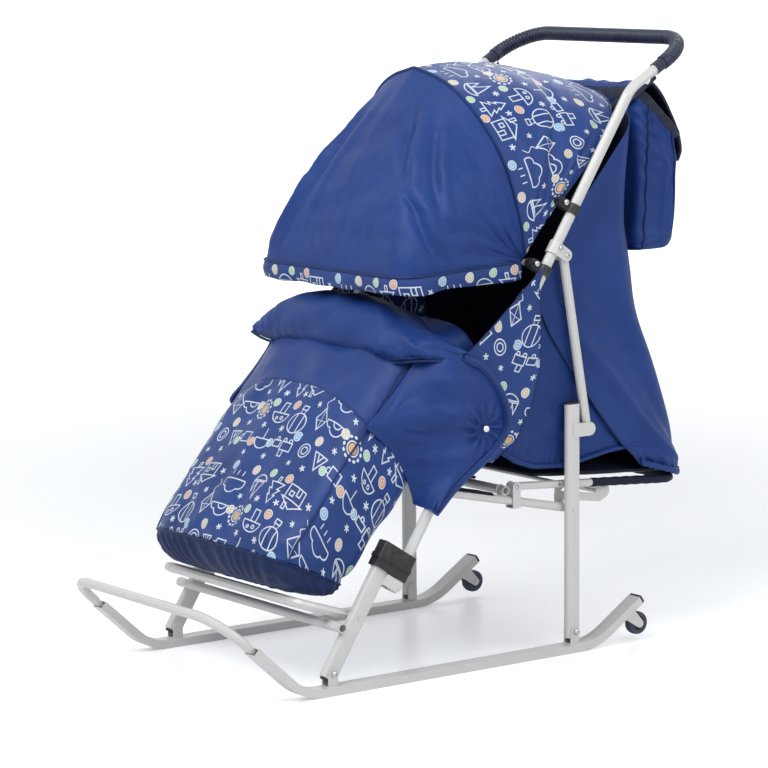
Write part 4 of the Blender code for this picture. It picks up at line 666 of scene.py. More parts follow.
def cord_along(name, points, radius, finish, body, flat=1.0, closed=False, segments=8):
    """A sewn cord or binding: a ring swept along a path."""
    shape = bmesh.new()
    uv = shape.loops.layers.uv.new("metres")
    rings = []
    side = None
    for i, point in enumerate(points):
        before, after = points[max(i - 1, 0)], points[min(i + 1, len(points) - 1)]
        if closed:
            before, after = points[i - 1], points[(i + 1) % len(points)]
        way = (after - before).normalized()
        if side is None:
            side = way.cross(Vector((0, 0, 1)) if abs(way.z) < 0.9 else Vector((1, 0, 0))).normalized()
        side = (side - way * side.dot(way)).normalized()
        over = way.cross(side)
        ring = []
        size = radius(i) if callable(radius) else radius
        for k in range(segments):
            turn = 2 * pi * k / segments
            ring.append(shape.verts.new(point + size * (cos(turn) * side + flat * sin(turn) * over)))
        rings.append(ring)
    edges = []
    for ring in rings:
        for first, second in zip(ring, ring[1:] + ring[:1]):
            edges.append(shape.edges.new((first, second)))
    pairs = list(zip(rings, rings[1:])) + ([(rings[-1], rings[0])] if closed else [])
    for first, second in pairs:
        loop = [
            shape.edges.get((a, b)) for ring in (first, second) for a, b in zip(ring, ring[1:] + ring[:1])
        ]
        bmesh.ops.bridge_loops(shape, edges=loop)
    if not closed:
        for ring in (rings[0], rings[-1]):
            shape.faces.new(ring)
    bmesh.ops.recalc_face_normals(shape, faces=shape.faces)
    index = {vertex: (i, k) for i, ring in enumerate(rings) for k, vertex in enumerate(ring)}
    step = (points[1] - points[0]).length
    for face in shape.faces:
        for loop in face.loops:
            i, k = index[loop.vert]
            loop[uv].uv = (k * 2 * pi * (radius(0) if callable(radius) else radius) / segments, i * step)
    return finished(name, shape, finish, body, 50.0)


def seam_cord(name, points, radius, body="handle_frame", closed=False):
    """The thin dark piping of a seam or an edge."""
    return cord_along(name, points, radius, edging, body, closed=closed, segments=6)


arch_shape = ((0.0, 1.0), (0.088, 0.886), (0.152, 0.706), (0.204, 0.500), (0.230, 0.222), (0.2235, 0.040))


def hood_arch(row, pivot, angle, reach, share):
    """The same row, drawn by that share towards the pointed arch of the middle bow."""
    half = [
        Vector((x, pivot[0] + cos(angle) * out * reach, pivot[1] + sin(angle) * out * reach))
        for x, out in arch_shape
    ]
    half = [spot(*point) for point in half]
    near = [smooth_path(half, 1 - i / 40) for i in range(41)]
    arch = even(near + [Vector((-p.x, p.y, p.z)) for p in reversed(near[:-1])], 81)
    return [a.lerp(b, min(max(share, 0.0), 1.0)) for a, b in zip(even(row, 81), arch)]


def hood_front_rows():
    rows = []
    front, middle = radians(183.0), radians(102.6)
    for step in range(9):
        share = step / 8
        angle = front + (middle - front) * share
        top = 0.266 * 0.341 * sin(abs(front - middle))
        straight = top / (0.266 * sin(abs(front - angle)) + 0.341 * sin(abs(angle - middle)))
        reach = straight + 0.034 * sin(pi * share) ** 0.8
        corner = 0.046 + 0.162 * share**1.6
        rows.append(
            hood_arch(
                bow_outline(LOWER_STUD, angle, reach, hood_half_width - 0.003 * share, corner, 0.012),
                LOWER_STUD, angle, reach, 0.5 * share**1.5,
            )
        )
    return rows


front_folds = (
    ((0.44, 0.92), (0.33, 0.42), -0.0095, 0.016), ((0.40, 0.90), (0.29, 0.42), 0.0070, 0.018),
    ((0.31, 0.46), (0.19, 0.05), -0.0085, 0.015), ((0.275, 0.46), (0.165, 0.05), 0.0065, 0.015),
    ((0.36, 0.88), (0.21, 0.32), -0.0065, 0.013), ((0.325, 0.86), (0.175, 0.28), 0.0055, 0.013),
    ((0.33, 0.44), (0.27, 0.34), -0.0050, 0.010), ((0.00, 0.44), (0.17, 0.60), 0.0055, 0.012),
    ((0.00, 0.58), (0.15, 0.78), 0.0055, 0.012), ((0.00, 0.30), (0.15, 0.28), 0.0045, 0.012),
    ((0.60, 0.97), (0.71, 0.05), 0.0075, 0.011), ((0.625, 0.97), (0.745, 0.05), -0.0060, 0.012),
    ((0.575, 0.95), (0.67, 0.05), -0.0050, 0.013), ((0.55, 0.96), (0.61, 0.20), 0.0040, 0.016),
    ((0.98, 0.70), (0.82, 0.32), 0.0055, 0.016), ((0.99, 0.45), (0.84, 0.20), 0.0045, 0.014),
)


def hood_front_folds(u, v):
    deep = ridges(u, v, *front_folds) + rumple(u, v, 9.0, 0.0042, 2.0) + rumple(u * 2.0, v, 22.0, 0.0010, 5.0)
    return deep * min(min(v, 1 - v) * 6, 1.0)


hood_middle_point = spot(0.0, -0.15, 0.74)
front_surface = sewn_surface(hood_front_rows())
shape = cloth_piece(front_surface, 200, 96, hood_middle_point, hood_front_folds)
front_area = area_of(shape)
hood_front = lined(finished("hood_front_panel", shape, blue_nylon, None, None), 0.0016, lining)
spot(0.0, -0.149, 0.620)
spot(0.0, -0.017, 0.796)
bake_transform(hood_front)
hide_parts("hood_visor")


# Valance: a strip of the printed cloth that hangs from the front bow, with a turned hem.
def valance_row(drop, out, wave):
    row = even(
        bow_outline(LOWER_STUD, radians(183.0), 0.2670 + out, hood_half_width + 0.0006 + out, 0.047, 0.014),
        97,
    )
    return [
        p + Vector((0.0, 0.0, -drop - wave * sin(i * 0.33) * (0.5 + 0.5 * sin(i * 0.11))))
        for i, p in enumerate(row)
    ]


valance_rows = [
    valance_row(-0.003, 0.0, 0.0), valance_row(0.008, 0.0022, 0.0),
    valance_row(0.018, 0.0012, 0.0008), valance_row(0.0275, -0.0012, 0.0018),
]
shape = cloth_piece(
    sewn_surface(valance_rows, 97), 180, 10, hood_middle_point,
    lambda u, v: v * (0.0022 * sin(u * 61.0) + 0.0016 * sin(u * 27.0 + 1.0)),
)
valance_area = area_of(shape)
valance = lined(
    finished("hood_valance_cloth", shape, printed, "hood_front", None), 0.0016, printed
)
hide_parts("hood_valance")
front_seam = [p + Vector((0, 0, 0.001)) for p in valance_row(-0.002, 0.0012, 0.0)]
seam_cord("front_bow_seam", front_seam, 0.0016, "hood_front")


# Hood rear: the printed panel from the middle bow over the rear bow, and down to the clips on the handle.
def hood_rear_rows():
    rows = []
    middle = (LOWER_STUD[0] + 0.3412 * cos(radians(103.0)), LOWER_STUD[1] + 0.3412 * sin(radians(103.0)))
    rear = (UPPER_STUD[0] + 0.2662 * cos(radians(43.0)), UPPER_STUD[1] + 0.2662 * sin(radians(43.0)))
    for step in range(9):
        share = step / 8
        rise = sin(pi * share)
        root_share = 0.80 * share
        root = [a + (b - a) * root_share for a, b in zip(LOWER_STUD, UPPER_STUD)]
        apex = [a + (b - a) * share + bulge * rise for a, b, bulge in zip(middle, rear, (0.010, 0.026))]
        way = (apex[0] - root[0], apex[1] - root[1])
        reach = sqrt(way[0] ** 2 + way[1] ** 2)
        corner = 0.208 + (0.150 - 0.208) * share
        angle = atan2(way[1], way[0])
        row = bow_outline(root, angle, reach, hood_half_width + 0.0022, corner, 0.014 + 0.006 * share)
        rows.append(hood_arch(row, root, angle, reach, 0.5 * (1 - share) ** 1.2))
    return rows


hood_rear_ridges = (
    ((0.03, 0.2), (0.30, 0.55), 0.0045, 0.030), ((0.02, 0.7), (0.26, 0.85), 0.0040, 0.022),
    ((0.05, 0.45), (0.45, 0.60), -0.0050, 0.040),
)


def hood_rear_folds(u, v):
    deep = ridges(u, v, *hood_rear_ridges) + ridges(1 - u, v, *hood_rear_ridges)
    return (deep + rumple(u, v, 11.0, 0.0032, 7.0)) * min(min(v, 1 - v) * 7, 1.0)


rear_surface = sewn_surface(hood_rear_rows())
shape = cloth_piece(rear_surface, 110, 50, hood_middle_point, hood_rear_folds)
rear_area = area_of(shape)
hood_rear = lined(
    finished("hood_rear_cloth", shape, printed, "handle_frame", None), 0.0016, lining
)
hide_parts("hood_rear_panel")
arch = []
for step in range(121):
    point = front_surface(step / 120, 1.0)
    arch.append(point + (spot(point.x * 0.8, *LOWER_STUD) - point).normalized() * 0.0104)
middle_bow = cord_along(
    "middle_bow", even(arch, 120), 0.0044, enamel, "hood_middle", segments=14
)
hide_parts("hood_mid_bow")
bow_seam = [rear_surface(i / 96, 0.008) + Vector((0, -0.0006, 0.0008)) for i in range(97)]
seam_cord("middle_bow_seam", bow_seam, 0.0019)
rear_seam = [rear_surface(i / 96, 0.985) + Vector((0, 0.0006, 0.0006)) for i in range(97)]
seam_cord("rear_bow_seam", rear_seam, 0.0019)


# Foot muff: a lightly padded sack of nylon on the seat. Its upper band is plain and the rest is printed,
# joined by a curved seam. A corded seam runs down each corner, and the foot is a darker, hard-wearing cloth.
muff_half_width = 0.2085
muff_stations = (
    ((-0.105, 0.392), (-0.212, 0.600), 0.99, 0.004),
    ((-0.150, 0.376), (-0.286, 0.588), 1.00, 0.010),
    ((-0.200, 0.360), (-0.345, 0.560), 1.00, 0.012),
    ((-0.262, 0.345), (-0.388, 0.508), 1.00, 0.016),
    ((-0.316, 0.322), (-0.428, 0.456), 1.00, 0.018),
    ((-0.351, 0.284), (-0.482, 0.391), 1.00, 0.018),
    ((-0.401, 0.230), (-0.537, 0.326), 1.00, 0.016),
    ((-0.441, 0.188), (-0.583, 0.271), 0.995, 0.014),
    ((-0.456, 0.168), (-0.606, 0.236), 0.985, 0.012),
)


def muff_ring(bottom, top, width, crown, power=5.5, count=112):
    """A closed ring from the middle of the bottom, up the child's left side, over and down the right."""
    middle = [(a + b) / 2 for a, b in zip(bottom, top)]
    half = [(b - a) / 2 for a, b in zip(bottom, top)]
    length = sqrt(half[0] ** 2 + half[1] ** 2)
    ring = []
    for i in range(count + 1):
        turn = 2 * pi * i / count - pi / 2
        c, s = cos(turn), sin(turn)
        across = abs(c) ** (2 / power) * (1 if c > 0 else -1)
        rise = abs(s) ** (2 / power) * (1 if s > 0 else -1)
        stretch = rise + crown / length * (1 - across * across) * max(rise, 0.0)
        flank = 1.0 + 0.012 * (1 - rise * rise)
        x = muff_half_width * width * across * flank
        ring.append(spot(x, middle[0] + half[0] * stretch, middle[1] + half[1] * stretch))
    ring[0].x = ring[-1].x = 0.0
    return ring


side_seam = [
    (-0.424, 0.444), (-0.398, 0.417), (-0.370, 0.389), (-0.348, 0.355), (-0.334, 0.325), (-0.328, 0.283)
]


def off_seam(point, on_top):
    """Distance past the seam between the plain band and the print, below zero on the plain side."""
    y, z = point.y - rear_bolts, point.z
    if on_top:
        return ((y + 0.300) * -0.65 + (z - 0.560) * -0.76) - (0.126 + 0.040 * (point.x / 0.2) ** 2)
    nearest, value = 1e9, 0.0
    for (y1, z1), (y2, z2) in zip(side_seam, side_seam[1:]):
        dy, dz = y2 - y1, z2 - z1
        share = min(max(((y - y1) * dy + (z - z1) * dz) / (dy * dy + dz * dz), 0.0), 1.0)
        gap = sqrt((y - y1 - share * dy) ** 2 + (z - z1 - share * dz) ** 2)
        if gap < nearest:
            nearest = gap
            value = gap if (y - y1) * dz - (z - z1) * dy > 0 else -gap
    return value


muff_ridges = (
    ((0.30, 0.62), (0.46, 0.40), 0.0045, 0.020), ((0.18, 0.95), (0.24, 0.55), 0.0040, 0.012),
    ((0.70, 0.62), (0.54, 0.40), 0.0045, 0.020), ((0.82, 0.95), (0.76, 0.55), 0.0040, 0.012),
    ((0.36, 0.98), (0.40, 0.70), 0.0030, 0.012), ((0.55, 0.97), (0.52, 0.72), 0.0032, 0.014),
)


def muff_folds(u, v):
    top = max(0.0, sin(pi * min(max((u - 0.26) / 0.48, 0.0), 1.0)))
    side = max(0.0, 1.0 - abs(min(u, 1.0 - u) - 0.17) / 0.08)
    waves = 0.0020 * sin(v * 31.0 + 2.5 * sin(u * 23.0)) * top * (1 - v)
    waves += 0.0018 * sin(u * 90.0 + v * 8.0) * top * v + 0.0020 * sin(v * 26.0 + u * 60.0) * side
    waves += ridges(u, v, *muff_ridges)
    return waves + rumple(u * 2.0, v, 8.0, 0.0055, 3.0) + rumple(u * 2.0, v, 24.0, 0.0011, 8.0)


muff_cloth = nylon("muff_nylon", royal_blue, royal_shade, 0.42, 0.20)
plain_colour = Channel(muff_cloth, muff_cloth.shader.inputs["Base Color"].links[0].from_socket)
print_ground = muff_cloth.tint(
    (0.021, 0.060, 0.235), (0.014, 0.043, 0.175), muff_cloth.grain(9.0).below(0.45, 0.12)
)
drawn, ink = print_motifs(muff_cloth, print_ground)
past_seam = muff_cloth.node("ShaderNodeAttribute", {"attribute_name": "past_seam"}, output="Fac")
is_print = 1.0 - past_seam.below(0.0, 0.0003)
stitch_run = muff_cloth.parts(muff_cloth.node("ShaderNodeUVMap"))[0]
stitches = abs(past_seam + 0.0028).below(0.0005, 0.0003) * (stitch_run * 1900.0).sine().below(0.35, 0.3)
# Painted shade: the colour is darkened towards the edging's dark blue along the groove that the seam sinks.
shade = abs(past_seam).below(0.0010, 0.0012)
cloth_colour = muff_cloth.tint(plain_colour, drawn, is_print)
cloth_colour = muff_cloth.tint(cloth_colour, (0.010, 0.026, 0.10), shade * 0.75)
cloth_colour = muff_cloth.tint(cloth_colour, (0.012, 0.030, 0.12), stitches)
sewn_in = muff_cloth.bump(abs(past_seam).below(0.0016, 0.0024) * -1.0, 0.0016, 0.9, muff_cloth.creased)
muff_cloth.set(
    Base_Color=cloth_colour, Roughness=0.37 + ink * is_print * 0.14,
    Normal=woven(muff_cloth, 0.00055, sewn_in),
)

muff_rows = [muff_ring(*station) for station in muff_stations]
muff_surface = sewn_surface(muff_rows, 113)
muff_middle = spot(0.0, -0.37, 0.34)
shape = cloth_piece(muff_surface, 168, 84, muff_middle, muff_folds)
for vertex in shape.verts:
    if abs(vertex.co.x) < 0.0035 and vertex.co.z < 0.37:
        vertex.co.x *= 0.5
seam_layer = shape.verts.layers.float.new("past_seam")
for vertex in shape.verts:
    y, z = vertex.co.y - rear_bolts, vertex.co.z
    off_corner = (y + 0.324) * 0.76 + (z - 0.540) * -0.65
    vertex[seam_layer] = off_seam(vertex.co, off_corner < 0.014 and abs(vertex.co.x) < 0.2065)
shape.verts.ensure_lookup_table()
bmesh.ops.remove_doubles(shape, verts=shape.verts, dist=1e-5)
muff = lined(
    finished("foot_muff_cloth", shape, muff_cloth, "seat_frame", None), 0.0060, lining
)
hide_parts("foot_muff")


def corner_share(v, surface, side):
    """Where a ring turns its upper corner on one side."""
    best, where = -1e9, 0.3
    for step in range(60):
        u = (0.20 + 0.25 * step / 59) if side > 0 else (0.80 - 0.25 * step / 59)
        point = surface(u, v)
        score = side * point.x * 1.3 + (-0.76 * point.y + 0.65 * point.z)
        if score > best:
            best, where = score, u
    return where


for side_name, side in both_sides:
    path = []
    for step in range(40):
        v = 0.10 + 0.90 * step / 39
        u = corner_share(v, muff_surface, side)
        point = muff_surface(u, v)
        path.append(point + Vector((side * 0.0016, -0.0010, 0.0009)) + Vector((0, 0, muff_folds(u, v) * 0.6)))
    seam_cord(f"muff_corner_cord_{side_name}", path, 0.0017, "seat_frame")

# Foot of the muff: the end of the sack, boxed and closed, with a seam where it meets the print.
sole_stations = (
    ((-0.4562, 0.1675), (-0.6062, 0.2352), 0.986, 0.012), ((-0.462, 0.161), (-0.6075, 0.2190), 0.978, 0.008),
    ((-0.474, 0.1555), (-0.599, 0.1960), 0.960, 0.004), ((-0.492, 0.1545), (-0.582, 0.1770), 0.900, 0.002),
    ((-0.512, 0.1560), (-0.562, 0.1680), 0.720, 0.000), ((-0.534, 0.1605), (-0.542, 0.1625), 0.300, 0.000),
)
sole_surface = sewn_surface([muff_ring(*station, power=5.0) for station in sole_stations], 113)
sole_cloth = nylon("dark_foot_cloth", (0.009, 0.024, 0.098), (0.006, 0.015, 0.062), 0.46, 0.12)


def sole_folds(u, v):
    gathers = 0.0030 * sin(u * 210.0 + 3.0 * sin(u * 31.0) + v * 4.0)
    return (rumple(u * 3.0, v, 9.0, 0.0035, 9.0) + gathers) * min(v * 5, 1.0) * (1 - v)


shape = cloth_piece(sole_surface, 300, 26, spot(0, -0.50, 0.22), sole_folds)
bmesh.ops.remove_doubles(shape, verts=shape.verts, dist=1e-5)
rim = []
for edge in shape.edges:
    place = edge.verts[0].co
    if edge.is_boundary and place.y - rear_bolts < -0.53 and place.z < 0.17:
        rim.append(edge)
bmesh.ops.holes_fill(shape, edges=rim, sides=0)
sole = lined(
    finished("muff_foot_cloth", shape, sole_cloth, "seat_frame", None), 0.0050, lining
)
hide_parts("muff_sole")
seam = [sole_surface(i / 150, 0.02) for i in range(150)]
seam = [p + (p - spot(p.x * 0.9, -0.53, 0.195)).normalized() * 0.0014 for p in seam]
cord_along("muff_foot_seam", seam, 0.0020, sole_cloth, "seat_frame", closed=True, segments=6)


# Padded pieces are swelled by a cloth simulation: a closed shell, pinned along its seams, with air inside.
def swell(piece, held, pressure, cap, frames=18):
    """Blows a padded piece up between the points that its seams hold. No point moves further than the cap."""
    group = piece.vertex_groups.new(name="sewn")
    for vertex in piece.data.vertices:
        group.add([vertex.index], held(vertex.co), "REPLACE")
    cloth = piece.modifiers.new("air", "CLOTH")
    settings = cloth.settings
    settings.quality = 5
    settings.mass = 0.25
    settings.tension_stiffness = settings.compression_stiffness = 12.0
    settings.shear_stiffness = 6.0
    settings.bending_stiffness = 0.3
    settings.use_pressure = True
    settings.uniform_pressure_force = pressure
    settings.vertex_group_mass = "sewn"
    settings.effector_weights.gravity = 0.0
    cloth.collision_settings.use_collision = False
    cloth.collision_settings.use_self_collision = False
    cloth.point_cache.frame_start = 1
    cloth.point_cache.frame_end = frames
    scene = bpy.context.scene
    for frame_number in range(1, frames + 1):
        scene.frame_set(frame_number)
    blown = piece.evaluated_get(bpy.context.evaluated_depsgraph_get()).to_mesh()
    moved = [vertex.co.copy() for vertex in blown.vertices]
    piece.modifiers.remove(cloth)
    scene.frame_set(1)
    for vertex, place in zip(piece.data.vertices, moved):
        move = place - vertex.co
        if move.length > cap:
            move *= cap / move.length
        vertex.co += move
    piece.vertex_groups.remove(group)
    piece.data.update()


def shell(shape, thickness):
    """Closes a laid cloth into a shell of that thickness, towards its back."""
    bmesh.ops.solidify(shape, geom=shape.verts[:] + shape.edges[:] + shape.faces[:], thickness=thickness)
    bmesh.ops.recalc_face_normals(shape, faces=shape.faces)
    return shape


def smoothed(piece):
    rounding = piece.modifiers.new("smooth", "SUBSURF")
    rounding.levels = rounding.render_levels = 1
    return piece


# Flap of the muff: a deep padded roll across the top of the sack, with a piped lower edge.
flap_across = (-0.242, -0.200, -0.116, 0.000, 0.116, 0.190, 0.236, 0.2655)
flap_profiles = (
    ((-0.349, 0.556), (-0.353, 0.562), (-0.346, 0.568), (-0.320, 0.571), (-0.285, 0.566), (-0.245, 0.556)),
    ((-0.346, 0.545), (-0.361, 0.566), (-0.343, 0.594), (-0.308, 0.606), (-0.262, 0.596), (-0.205, 0.576)),
    ((-0.345, 0.541), (-0.369, 0.576), (-0.350, 0.620), (-0.307, 0.634), (-0.240, 0.612), (-0.175, 0.586)),
    ((-0.345, 0.535), (-0.372, 0.574), (-0.357, 0.626), (-0.312, 0.646), (-0.235, 0.622), (-0.160, 0.592)),
    ((-0.345, 0.539), (-0.369, 0.574), (-0.350, 0.618), (-0.310, 0.632), (-0.250, 0.606), (-0.195, 0.578)),
    ((-0.345, 0.544), (-0.362, 0.563), (-0.346, 0.590), (-0.314, 0.603), (-0.275, 0.590), (-0.240, 0.568)),
    ((-0.318, 0.550), (-0.332, 0.560), (-0.328, 0.577), (-0.304, 0.584), (-0.270, 0.577), (-0.238, 0.560)),
    ((-0.256, 0.544), (-0.260, 0.549), (-0.259, 0.556), (-0.253, 0.559), (-0.246, 0.557), (-0.238, 0.552)),
)
flap_rows = [profile(x, row) for x, row in zip(flap_across, flap_profiles)]


def flap_surface(u, v):
    """u across the sled, v from the piped edge over the crest to the back."""
    return smooth_path([smooth_path(row, v) for row in flap_rows], u)


flap_ridges = (
    ((0.10, 0.20), (0.34, 0.55), 0.0045, 0.045), ((0.92, 0.15), (0.70, 0.55), 0.0050, 0.040),
    ((0.30, 0.10), (0.52, 0.42), -0.0040, 0.040), ((0.66, 0.08), (0.80, 0.46), -0.0035, 0.030),
)


def flap_folds(u, v):
    gathers = 0.0013 * sin(u * 150.0 + 3.0 * sin(u * 17.0)) * max(0.0, 1.0 - v * 4.0)
    left_end = max(0.0, 1.0 - u * 3.6) * sin(pi * min(v * 1.4, 1.0))
    gathers -= 0.0060 * left_end * max(0.0, sin(u * 118.0 + v * 5.0)) ** 2
    uneven = ridges(u, v, *flap_ridges) + rumple(u * 2.2, v * 1.2, 6.0, 0.0040, 12.0)
    return (uneven + gathers) * min(v * 9.0, 1.0)


shape = shell(cloth_piece(flap_surface, 132, 44, spot(0, -0.22, 0.52), flap_folds), 0.012)
flap = finished("muff_flap_pad", shape, blue_nylon, "seat_frame", None)
flap_edge = [flap_surface(i / 90, 0.0) for i in range(91)]
flap_back = [flap_surface(i / 90, 1.0) for i in range(91)]


def flap_held(place):
    near = min(
        min((place - point).length for point in flap_edge[::3]),
        min((place - point).length for point in flap_back[::3]),
    )
    return 1.0 if near < 0.010 or abs(place.x) > 0.238 else 0.0


swell(flap, flap_held, 5.0, 0.009)
smoothed(flap)
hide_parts("muff_flap")
piping = [point + Vector((0.0, -0.0026, -0.0012)) for point in flap_edge]
cord_along("flap_piping", piping, 0.0026, edging, "seat_frame")
stitched = [flap_surface(i / 90, 0.075) + Vector((0.0, -0.0035, 0.0)) for i in range(4, 88)]
cord_along("flap_stitching", stitched, 0.0007, edging, "seat_frame", segments=5)

# Sides of the muff: plain padded ears that close round the outside of the handle tubes, each with a soft
# rolled rim and a press stud. They are sewn to the sack along its corner and along the seam of the print.
ear_inner = [
    (-0.308, 0.566), (-0.362, 0.503), (-0.396, 0.469), (-0.424, 0.440), (-0.397, 0.414), (-0.369, 0.386),
    (-0.348, 0.354), (-0.336, 0.322), (-0.330, 0.298),
]
ear_rim = [
    (-0.262, 0.551), (-0.222, 0.532), (-0.190, 0.497), (-0.170, 0.459), (-0.168, 0.422), (-0.193, 0.390),
    (-0.232, 0.362), (-0.278, 0.332), (-0.324, 0.290),
]
snap_place = (-0.2185, 0.426)


def ear_surface_of(side):
    inner = profile(side * 0.2115, ear_inner)
    outer = profile(side * 0.2630, ear_rim)

    def surface(u, v):
        """u from the seam on the sack to the rim, v from the top down."""
        first, last = smooth_path(inner, v), smooth_path(outer, v)
        point = first.lerp(last, u)
        outward = min(u / 0.62, 1.0)
        point.x = side * (0.2115 + 0.0515 * (outward * outward * (3 - 2 * outward)) + 0.008 * sin(pi * u))
        return point

    return surface


ear_ridges = (
    ((0.15, 0.30), (0.95, 0.42), 0.0050, 0.050), ((0.10, 0.42), (0.85, 0.55), -0.0050, 0.050),
    ((0.05, 0.62), (0.80, 0.66), 0.0045, 0.045), ((0.20, 0.10), (0.90, 0.22), 0.0040, 0.050),
)


def ear_folds_of(surface, side):
    centre = spot(side * 0.266, *snap_place)

    def folds(u, v):
        point = surface(u, v)
        off = point - centre
        gap = sqrt(off.y**2 + off.z**2)
        turn = atan2(off.z, off.y)
        rays = 0.0048 * sin(turn * 11.0 + gap * 40.0) * bell((gap - 0.026) / 0.019)
        pucker = rays - 0.0050 * bell(gap / 0.010)
        waves = pucker + ridges(u, v, *ear_ridges) + rumple(u, v, 6.0, 0.0035, 4.0)
        return waves * min(u * 6, (1 - u) * 6 + 0.35, 1.0)

    return folds


for side_name, side in both_sides:
    ear_surface = ear_surface_of(side)
    shape = cloth_piece(ear_surface, 74, 110, spot(0.0, -0.30, 0.42), ear_folds_of(ear_surface, side))
    shape = shell(shape, 0.0065)
    ear = finished(f"muff_side_pad_{side_name}", shape, blue_nylon, "seat_frame", None)
    seam_line = [ear_surface(0.0, i / 60) for i in range(61)]
    rim_line = [ear_surface(1.0, i / 60) for i in range(61)]
    lines = seam_line[::2] + rim_line[::2] + [spot(side * 0.266, *snap_place)]

    def ear_held(place):
        return 1.0 if min((place - point).length for point in lines) < 0.009 else 0.0

    swell(ear, ear_held, 4.0, 0.006, 12)
    smoothed(ear)
    rolled = [point + Vector((0.0, 0.0015, 0.0)) for point in rim_line]
    cord_along(
        f"muff_rim_roll_{side_name}", rolled, 0.0078, blue_nylon, "seat_frame", segments=12
    )
    bead = [point + Vector((side * 0.0068, -0.0035, 0.0)) for point in rim_line]
    seam_cord(f"muff_rim_seam_{side_name}", bead, 0.0011, "seat_frame")

# Press studs: turned brass caps, chromed, one on each side of the muff.
chrome = Finish("chromed_brass", (0.80, 0.81, 0.83), 0.09, Metallic=1.0)
scuffs = chrome.grain(340.0, 3.0)
chrome.set(Roughness=0.06 + scuffs * 0.10, Normal=chrome.bump(scuffs, 0.00004, 0.3))


def turned(name, half_section, centre, axis, finish, body, steps=32):
    """A turned piece: (radius, height) pairs spun about an axis through its centre."""
    shape = bmesh.new()
    path = [shape.verts.new((radius, 0.0, height)) for radius, height in half_section]
    edges = [shape.edges.new(pair) for pair in zip(path, path[1:])]
    bmesh.ops.spin(
        shape, geom=path + edges, cent=(0, 0, 0), axis=(0, 0, 1), angle=2 * pi, steps=steps, use_merge=True
    )
    bmesh.ops.remove_doubles(shape, verts=shape.verts, dist=1e-6)
    bmesh.ops.recalc_face_normals(shape, faces=shape.faces)
    facing = Vector(axis).to_track_quat("Z", "Y").to_matrix().to_4x4()
    bmesh.ops.transform(shape, matrix=Matrix.Translation(centre) @ facing, verts=shape.verts)
    return finished(name, shape, finish, body, 30.0)


for side_name, side in both_sides:
    cap = [(0.0, 0.0034), (0.0025, 0.0032), (0.0045, 0.0024), (0.0058, 0.0012), (0.0062, 0.0002)]
    cap += [(0.0058, -0.0006), (0.0045, -0.0010), (0.0, -0.0010)]
    centre = spot(side * 0.2735, *snap_place)
    turned(f"press_stud_{side_name}", cap, centre, (side, 0.0, 0.05), chrome, "seat_frame")

# Handle tubes: their middle lines lean back from the knees, and bend where the bag hangs.
handle_half_width = 0.2395
knee_point = (-0.39402, 0.16954)
tube_way = (cos(radians(57.4)), sin(radians(57.4)))
bend_point = (0.133, 0.9934)
top_way = (cos(radians(30)), sin(radians(30)))


def on_tube(side, start, way, reach):
    """A point of a handle tube's middle line, that far from a start on it."""
    return spot(side * handle_half_width, start[0] + reach * way[0], start[1] + reach * way[1])


# Side wings: printed cloth that closes the gap between the hood and the muff on each side. Each is sewn as
# a flat double layer, lies against the outside of the handle tube and hangs from two loops round it.
wing_front = [
    (-0.0790, 0.690), (-0.135, 0.641), (-0.190, 0.596), (-0.2463, 0.5516), (-0.262, 0.525),
    (-0.264, 0.480), (-0.258, 0.430), (-0.248, 0.395), (-0.236, 0.368),
]
wing_rear = [
    (-0.0755, 0.688), (-0.0868, 0.662), (-0.0826, 0.636), (-0.0812, 0.575), (-0.0828, 0.511),
    (-0.1010, 0.453), (-0.1204, 0.424), (-0.1358, 0.397), (-0.1900, 0.362),
]


def wing_folds(u, v):
    fold = ridge(u, v, (0.10, 0.55), (0.95, 0.80), 0.0016, 0.06)
    return (fold + rumple(u, v * 3, 5.0, 0.0014, 21.0)) * sin(pi * u)


def wing_surface_of(side):
    front = even(profile(side * 0.2530, wing_front), 60)
    rear = even(profile(side * 0.2530, wing_rear), 60)

    def surface(u, v):
        point = smooth_path(front, v).lerp(smooth_path(rear, v), u)
        point.x += side * 0.0016 * sin(pi * u) * sin(pi * v)
        return point

    return surface


for side_name, side in both_sides:
    wing_surface = wing_surface_of(side)
    shape = cloth_piece(wing_surface, 34, 90, spot(0.0, -0.15, 0.5), wing_folds)
    wing_area = area_of(shape)
    wing = finished(f"side_wing_cloth_{side_name}", shape, printed, "handle_frame", None)
    wall = wing.modifiers.new("layers", "SOLIDIFY")
    wall.thickness = 0.0018
    wall.offset = -1.0
    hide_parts(f"side_wing_{side_name}")
    for edge_name, share in (("front", 0.0), ("rear", 1.0)):
        line = [wing_surface(share, 0.02 + 0.96 * i / 70) for i in range(71)]
        seam_cord(f"wing_{edge_name}_edge_{side_name}", line, 0.0013)
    for number, along in (("upper", 0.565), ("lower", 0.300)):
        ends = [on_tube(side, knee_point, tube_way, along + k) for k in (-0.008, -0.003, 0.003, 0.008)]
        cord_along(
            f"wing_loop_{number}_{side_name}", ends, 0.0108, edging, "handle_frame", segments=24
        )

# Side liners: the same print on the inside of the gap behind each wing, seen past the muff on the far side.
for side_name, side in both_sides:
    front = even(
        profile(side * 0.2176, ((-0.060, 0.676), (-0.108, 0.640), (-0.122, 0.560), (-0.112, 0.500))), 30
    )
    rear = even(profile(side * 0.2176, ((-0.048, 0.686), (0.004, 0.640), (0.028, 0.580), (0.024, 0.500))), 30)
    shape = cloth_piece(
        lambda u, v: smooth_path(front, v).lerp(smooth_path(rear, v), u), 24, 40, spot(0.0, -0.15, 0.6),
        lambda u, v: rumple(u, v * 2, 5.0, 0.0016, 71.0),
    )
    liner_area = area_of(shape)
    liner = finished(f"side_liner_{side_name}", shape, printed, "handle_frame", None)
    wall = liner.modifiers.new("layers", "SOLIDIFY")
    wall.thickness = 0.0010

